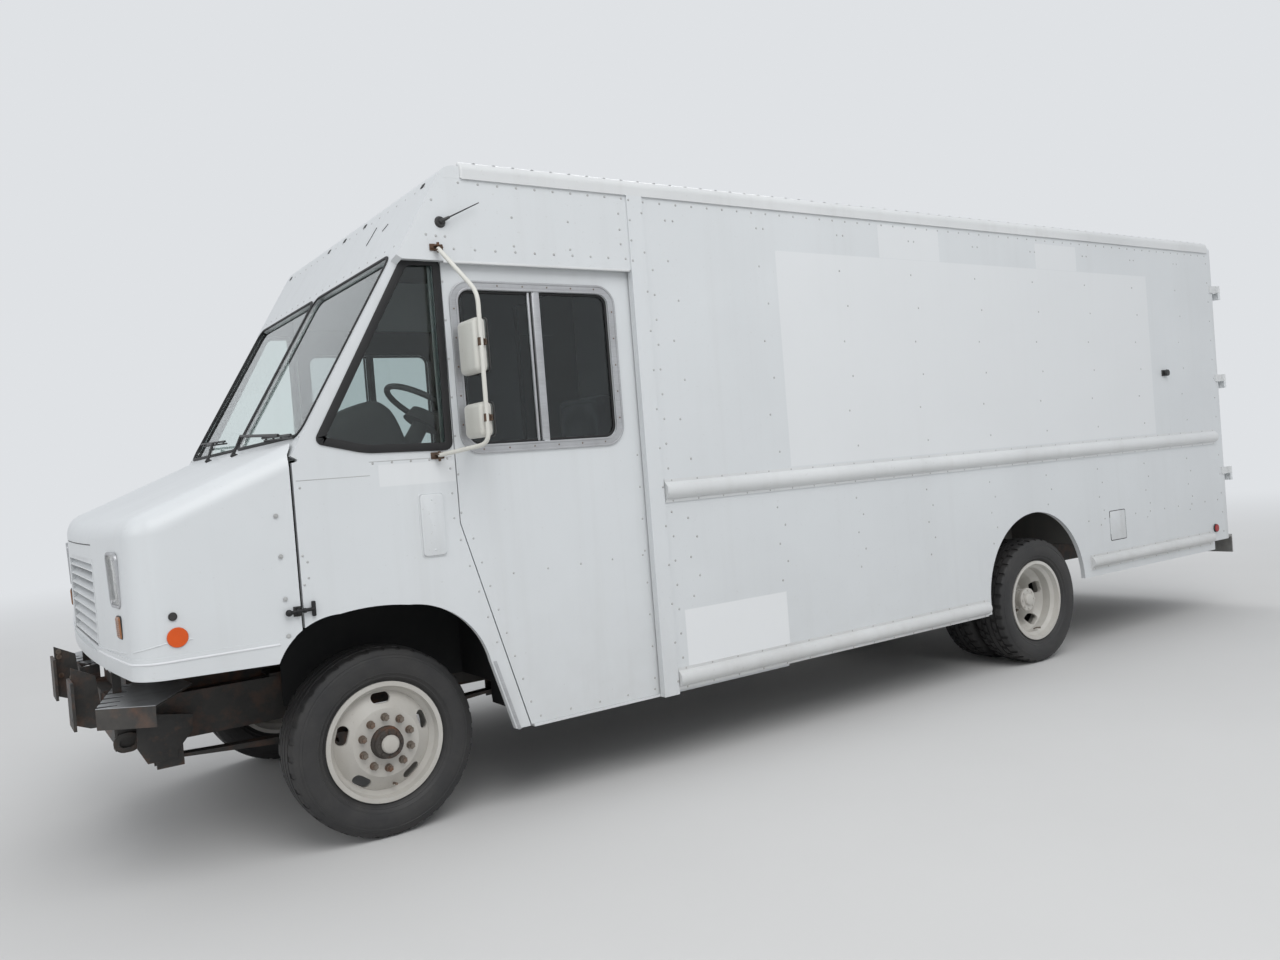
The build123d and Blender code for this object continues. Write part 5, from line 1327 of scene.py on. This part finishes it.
class TRUCK_OT_mirrors(bpy.types.Operator):
    """Mirror tubes, shells, glasses, clamps and brackets"""

    bl_idname = "truck.mirrors"
    bl_label = "Mirrors"

    def execute(self, context):
        tube, shells, glasses, trims, steel = (bmesh.new() for _ in range(5))
        path = [at(0.330, -1.212, 2.562), at(0.407, -1.405, 2.339), at(0.405, -1.405, 1.692),
                at(0.274, -1.172, 1.661)]
        add_tube(tube, bend(path, 0.05, 6), 0.010)
        add_piece("mirror_tubes", both_sides(tube), "mirror_shell", replaces=("mirrors",))
        for low, high in ((2.000, 2.238), (1.722, 1.875)):
            place = at(0.416, -1.296, (low + high) / 2)
            add_block(shells, place, (0.060, 0.186, high - low), 0.026, None, 5)
            half_u, half_v = 0.093, (high - low) / 2

            def face(u, v, w, place=place):
                return place + Vector((0.030 + w, u, v))

            add_ring(trims, rectangle(-half_u, half_u, -half_v, half_v), 0.026, 0.009, 0.008, face)
            half_u, half_v = half_u - 0.008, half_v - 0.008
            add_plate(glasses, rectangle(-half_u, half_u, -half_v, half_v), 0.020, 0.003, face)
        add_piece("mirror_shells", both_sides(shells), "mirror_shell", smooth=50)
        add_piece("mirror_glasses", both_sides(glasses), "mirror_glass")
        add_piece("mirror_trims", both_sides(trims), "trim_black")
        for height in (2.128, 1.803):
            clamp = at(0.4055, -1.402, height)
            add_rod(steel, clamp - Vector((0, 0, 0.017)), clamp + Vector((0, 0, 0.017)), 0.0125)
            add_block(steel, at(0.421, -1.394, height), (0.032, 0.012, 0.028), 0.003)
            for step in (-0.008, 0.008):
                add_stud(steel, on_side(-1, 1.396), (0.427, height + step), 0, 0.0095, 0.0048, segments=6)
        for station, height, half in ((0.330, 2.570, BODY_HALF), (0.274, 1.661, CAB_HALF)):
            wall = on_side(-1, half)
            for up, out, size in ((0, 0.003, (0.062, 0.005, 0.030)),
                                  (0.004, 0.017, (0.026, 0.034, 0.005)),
                                  (-0.014, 0.017, (0.026, 0.034, 0.004))):
                add_block(steel, wall(station, height + up, out), size, 0.002)
            pin = (wall(station, height + up, 0.024) for up in (-0.026, 0.018))
            add_rod(steel, *pin, 0.006, segments=12)
            for step in (-0.024, 0.024):
                add_stud(steel, wall, (station + step, height), 0.004, 0.011, 0.007, segments=6)
        add_piece("mirror_brackets", both_sides(steel), "rusty_steel")
        return {"FINISHED"}


class TRUCK_OT_wipers(bpy.types.Operator):
    """Wiper arms, blades and pivots"""

    bl_idname = "truck.wipers"
    bl_label = "Wipers"

    def execute(self, context):
        arms = bmesh.new()
        for pivot, elbow, tip, start, end in (
            ((-0.165, 0.055), (-0.190, 0.150), (-0.880, 0.112), (-0.560, 0.125), (-1.060, 0.105)),
            ((0.430, 0.055), (0.450, 0.150), (0.700, 0.175), (0.300, 0.170), (0.960, 0.195)),
        ):
            add_stud(arms, on_screen, pivot, -0.01, 0.040, 0.016, 0.012)
            path = [on_screen(*pivot, 0.030), on_screen(*elbow, 0.045), on_screen(*tip, 0.028)]
            add_tube(arms, path, 0.007, 8)
            add_rod(arms, on_screen(*start, 0.020), on_screen(*end, 0.020), 0.0055, segments=8)
            foot, toe = ((across, up - 0.006) for across, up in (start, end))
            add_rod(arms, on_screen(*foot, 0.007), on_screen(*toe, 0.007), 0.0045, segments=6)
            for share in (0.1, 0.37, 0.63, 0.9):
                across, up = Vector(start).lerp(Vector(end), share)
                add_rod(arms, on_screen(across, up - 0.005, 0.006), on_screen(across, up, 0.022), 0.004,
                        segments=6)
        add_piece("wiper_arms", arms, "trim_black", replaces=("wipers",))
        return {"FINISHED"}


# The middle of the seat, across
SEAT_ACROSS = -0.540


class TRUCK_OT_seat(bpy.types.Operator):
    """The driver's seat: two cushions on a pedestal"""

    bl_idname = "truck.seat"
    bl_label = "Driver's seat"

    def execute(self, context):
        for name, centre, size, old in (
            ("seat_cushion", at(1.200, SEAT_ACROSS, 1.190), (0.460, 0.450, 0.110), ("driver_seat",)),
            ("seat_back", at(1.425, SEAT_ACROSS, 1.590), (0.100, 0.450, 0.700), ()),
        ):
            bm = bmesh.new()
            add_block(bm, centre, size, 0.035, None, 4)
            piece = add_piece(name, bm, "seat_cloth", replaces=old)
            rounding = piece.modifiers.new("Rounding", "SUBSURF")
            rounding.levels = rounding.render_levels = 1
        stand = bmesh.new()
        add_block(stand, at(1.220, SEAT_ACROSS, 0.955), (0.200, 0.240, 0.350), 0.01)
        add_block(stand, at(1.220, SEAT_ACROSS, 1.128), (0.420, 0.400, 0.020), 0.004)
        add_piece("seat_stand", stand, "dark_parts_and_shade")
        return {"FINISHED"}


# Steering wheel: its hub as station, across and height, the tilt of its axis, and its rim
STEERING_HUB = (0.500, -0.550, 1.905)
STEERING_TILT = radians(33)
STEERING_RIM, STEERING_GRIP = 0.225, 0.015
# Upper outline of the instrument pod, as (station, height), its foot and its ends' (across, size)
POD_OUTLINE = ((-0.150, 1.640), (-0.125, 1.740), (-0.085, 1.840), (-0.044, 1.885), (0.018, 1.908),
               (0.092, 1.936), (0.140, 1.946), (0.170, 1.945), (0.196, 1.934), (0.222, 1.912),
               (0.245, 1.875), (0.262, 1.836), (0.285, 1.770), (0.300, 1.640))
POD_FOOT = (0.08, 1.600)
POD_ENDS = ((-0.800, 0.70), (-0.792, 0.86), (-0.765, 0.96), (-0.720, 1.0), (-0.540, 0.99),
            (-0.430, 0.95), (-0.380, 0.88), (-0.360, 0.70))


class TRUCK_OT_dash(bpy.types.Operator):
    """The instrument pod and the steering wheel at the place where they show through the glass"""

    bl_idname = "truck.dash"
    bl_label = "Instrument pod and steering wheel"

    def execute(self, context):
        pod = bmesh.new()
        rings = [[pod.verts.new(at(POD_FOOT[0] + (station - POD_FOOT[0]) * (0.5 + size / 2), across,
                                   POD_FOOT[1] + (height - POD_FOOT[1]) * size))
                  for station, height in POD_OUTLINE] for across, size in POD_ENDS]
        for first, second in zip(rings, rings[1:]):
            for start in range(len(first) - 1):
                pod.faces.new((first[start], first[start + 1], second[start + 1], second[start]))
        for ring in (rings[0], rings[-1]):
            pod.faces.new(ring)
        add_piece("instrument_pod", pod, "dark_parts_and_shade", smooth=50)

        wheel = bmesh.new()
        hub = at(*STEERING_HUB)
        axis = Vector((sin(STEERING_TILT), 0, cos(STEERING_TILT)))
        upward = Vector((-cos(STEERING_TILT), 0, sin(STEERING_TILT)))

        def on_rim(turn, radius):
            return hub + Vector((0, radius * cos(turn), 0)) + upward * (radius * sin(turn))

        place = Matrix.Translation(on_rim(0, STEERING_RIM))
        section = Matrix((upward, (0, 1, 0), axis)).transposed().to_4x4() @ Matrix.Rotation(pi / 2, 4, "Y")
        bmesh.ops.create_circle(wheel, segments=10, radius=STEERING_GRIP, matrix=place @ section)
        bmesh.ops.spin(wheel, geom=wheel.verts[:] + wheel.edges[:], cent=hub, axis=axis, angle=tau,
                       steps=40, use_merge=True)
        for turn in (radians(-8), radians(188), radians(270)):
            spoke = [on_rim(turn, 0.05) - axis * 0.02, on_rim(turn, STEERING_RIM - 0.008)]
            add_tube(wheel, spoke, 0.011, 8)
        add_rod(wheel, hub - axis * 0.085, hub - axis * 0.022, 0.095, 0.075, 24)
        add_rod(wheel, hub - axis * 0.46, hub - axis * 0.03, 0.046, 0.040, 20)
        add_piece("steering_wheel_rim", wheel, "dark_parts_and_shade", replaces=("steering_wheel",),
                  smooth=50)
        return {"FINISHED"}


LOCK_BAR_HALF = 0.200


class TRUCK_OT_tail_fittings(bpy.types.Operator):
    """Rear door seals, locking bars and handles, and a tread on the step"""

    bl_idname = "truck.tail_fittings"
    bl_label = "Tail fittings"

    def execute(self, context):
        for side, word in SIDES:
            bars, seal = bmesh.new(), bmesh.new()
            across = side * LOCK_BAR_HALF
            for low, high in ((0.815, 1.335), (1.485, 2.645)):
                add_rod(bars, on_back_door(across, low, 0.016), on_back_door(across, high, 0.016), 0.010)
            add_block(bars, on_back_door(across, 1.41, 0.0015), (0.003, 0.024, 0.20), 0.001)
            for height in (0.90, 1.31, 1.51, 2.00, 2.55):
                add_block(bars, on_back_door(across, height, 0.010), (0.022, 0.060, 0.040), 0.004)
            add_piece(f"locking_bar_{word}", bars, "bright_metal", f"back_door_{word}")
            low, high = sorted((side * 0.012, side * 1.142))
            add_ring(seal, rectangle(low, high, 0.806, 2.654), 0.010, 0.014, 0.004, on_back_door)
            add_piece(f"back_door_seal_{word}", seal, "seal_rubber", f"back_door_{word}")
        handle = bmesh.new()
        add_block(handle, on_back_door(-LOCK_BAR_HALF, 1.180, 0.025), (0.014, 0.030, 0.120), 0.004)
        add_block(handle, on_back_door(-0.140, 1.225, 0.030), (0.010, 0.150, 0.022), 0.004)
        add_piece("back_door_handle", handle, "bright_metal", "back_door_left")
        tread = bmesh.new()
        for station in row(7.075, 7.275, 0.025):
            for across in row(-1.05, 1.05, 0.07):
                add_block(tread, at(station, across, 0.5805), (0.012, 0.040, 0.003))
        add_piece("step_tread", tread, "step_metal")
        return {"FINISHED"}


# The photograph's camera: its place as station, across and height, its turns, and its focal
# length and frame width in pixels
CAMERA_PLACE = (-1.506, -5.339, 1.558)
CAMERA_YAW, CAMERA_PITCH, CAMERA_ROLL = radians(34.181), radians(-0.954), radians(-4.51)
PHOTO_FOCAL, PHOTO_WIDTH = 1014.206, 1280
SENSOR_WIDTH = 36.0
# The floor fades into the backdrop between two distances from the truck's middle
BACKDROP = (0.74, 0.76, 0.785)
FLOOR_HALF, FADE_START, FADE_END = 150, 5.0, 19.0
SKY_COLOUR, SKY_STRENGTH = (0.93, 0.96, 1.0), 0.72


class TRUCK_OT_stage(bpy.types.Operator):
    """Pale floor, soft lights and the camera of the photograph"""

    bl_idname = "truck.stage"
    bl_label = "Stage"

    def execute(self, context):
        scene = context.scene
        scene.view_settings.view_transform = "Standard"
        bm = bmesh.new()
        bmesh.ops.create_grid(bm, x_segments=1, y_segments=1, size=FLOOR_HALF)
        mesh = bpy.data.meshes.new("floor")
        bm.to_mesh(mesh)
        bm.free()
        ground = bpy.data.materials.new("floor")
        ground.use_nodes = True
        tree = Tree(ground.node_tree)
        shader = ground.node_tree.nodes["Principled BSDF"]
        cloud = tree.noise(tree.place(), 0.7, 4.0)
        concrete = tree.mix(cloud, (0.60, 0.595, 0.585), (0.64, 0.635, 0.625))
        tree.feed(shader.inputs["Base Color"], concrete)
        shader.inputs["Roughness"].default_value = 0.9
        path = tree.node("LightPath").outputs
        seen = tree.math("MAXIMUM", tree.math("MAXIMUM", path["Is Camera Ray"], path["Is Glossy Ray"]),
                         path["Is Transmission Ray"])
        reach = tree.node("VectorMath", {0: tree.place()}, operation="LENGTH").outputs["Value"]
        values = {0: reach, 1: FADE_START, 2: FADE_END}
        fade = tree.node("MapRange", values, interpolation_type="SMOOTHSTEP").outputs[0]
        fade = tree.math("MULTIPLY", fade, seen)
        glow = tree.node("Emission", {"Color": BACKDROP})
        blend = tree.node("MixShader", {0: fade, 1: shader.outputs[0], 2: glow.outputs[0]})
        tree.feed(ground.node_tree.nodes["Material Output"].inputs["Surface"], blend.outputs[0])
        mesh.materials.append(ground)
        link("floor", mesh)

        world = bpy.data.worlds.new("studio")
        scene.world = world
        world.use_nodes = True
        tree = Tree(world.node_tree)
        tree.tree.nodes.clear()
        path = tree.node("LightPath").outputs
        seen = tree.math("MAXIMUM", path["Is Camera Ray"], path["Is Transmission Ray"])
        light = tree.node("Background", {"Color": SKY_COLOUR, "Strength": SKY_STRENGTH})
        backdrop = tree.node("Background", {"Color": BACKDROP, "Strength": 1.0})
        blend = tree.node("MixShader", {0: seen, 1: light.outputs[0], 2: backdrop.outputs[0]})
        out = tree.node("OutputWorld")
        tree.feed(out.inputs[0], blend.outputs[0])

        for name, place, target, size, power in (
            ("sky_lamp", (-3.0, -8.0, 10.0), (0.5, 0, 1.0), 8.0, 620),
            ("front_lamp", (-12.0, -3.0, 6.0), (-3.0, 0, 1.3), 6.0, 160),
            ("far_lamp", (6.0, 10.0, 9.0), (1.0, 0, 1.5), 8.0, 420),
        ):
            lamp = bpy.data.lights.new(name, "AREA")
            lamp.energy, lamp.size = power, size
            holder = link(name, lamp)
            holder.location = place
            holder.rotation_euler = (Vector(target) - Vector(place)).to_track_quat("-Z", "Y").to_euler()

        forward = Vector((sin(CAMERA_YAW) * cos(CAMERA_PITCH), cos(CAMERA_YAW) * cos(CAMERA_PITCH),
                          sin(CAMERA_PITCH)))
        level = Vector((cos(CAMERA_YAW), -sin(CAMERA_YAW), 0))
        upright = level.cross(forward)
        right = level * cos(CAMERA_ROLL) + upright * sin(CAMERA_ROLL)
        up = upright * cos(CAMERA_ROLL) - level * sin(CAMERA_ROLL)
        lens = bpy.data.cameras.new("camera")
        lens.sensor_width = SENSOR_WIDTH
        lens.lens = PHOTO_FOCAL * SENSOR_WIDTH / PHOTO_WIDTH
        lens.clip_end = 200
        turn = Matrix((right, up, -forward)).transposed().to_4x4()
        scene.camera = link("camera", lens)
        scene.camera.matrix_world = Matrix.Translation(at(*CAMERA_PLACE)) @ turn
        return {"FINISHED"}


OPERATORS = (
    TRUCK_OT_finishes, TRUCK_OT_hood, TRUCK_OT_tyres, TRUCK_OT_wheel_nuts, TRUCK_OT_rivets,
    TRUCK_OT_seals, TRUCK_OT_lamps, TRUCK_OT_latches, TRUCK_OT_side_fittings,
    TRUCK_OT_front_fittings, TRUCK_OT_mirrors, TRUCK_OT_wipers, TRUCK_OT_seat, TRUCK_OT_dash,
    TRUCK_OT_tail_fittings, TRUCK_OT_stage,
)


class TRUCK_PT_pieces(bpy.types.Panel):
    """Lists the steps that dress the truck"""

    bl_idname = "TRUCK_PT_pieces"
    bl_label = "Delivery Truck"
    bl_space_type = "VIEW_3D"
    bl_region_type = "UI"
    bl_category = "Truck"

    def draw(self, context):
        for group in (context.scene.truck_sizes, context.scene.truck_colours):
            for name in group.__annotations__:
                self.layout.prop(group, name)
        for operator in OPERATORS:
            self.layout.operator(operator.bl_idname)


CLASSES = (TruckSizes, TruckColours, *OPERATORS, TRUCK_PT_pieces)


def register():
    for cls in CLASSES:
        bpy.utils.register_class(cls)
    bpy.types.Scene.truck_sizes = PointerProperty(type=TruckSizes)
    bpy.types.Scene.truck_colours = PointerProperty(type=TruckColours)


def unregister():
    del bpy.types.Scene.truck_colours
    del bpy.types.Scene.truck_sizes
    for cls in reversed(CLASSES):
        bpy.utils.unregister_class(cls)


def main():
    register()
    for operator in OPERATORS:
        getattr(bpy.ops.truck, operator.bl_idname.split(".")[1])()


if __name__ == "__main__":
    main()
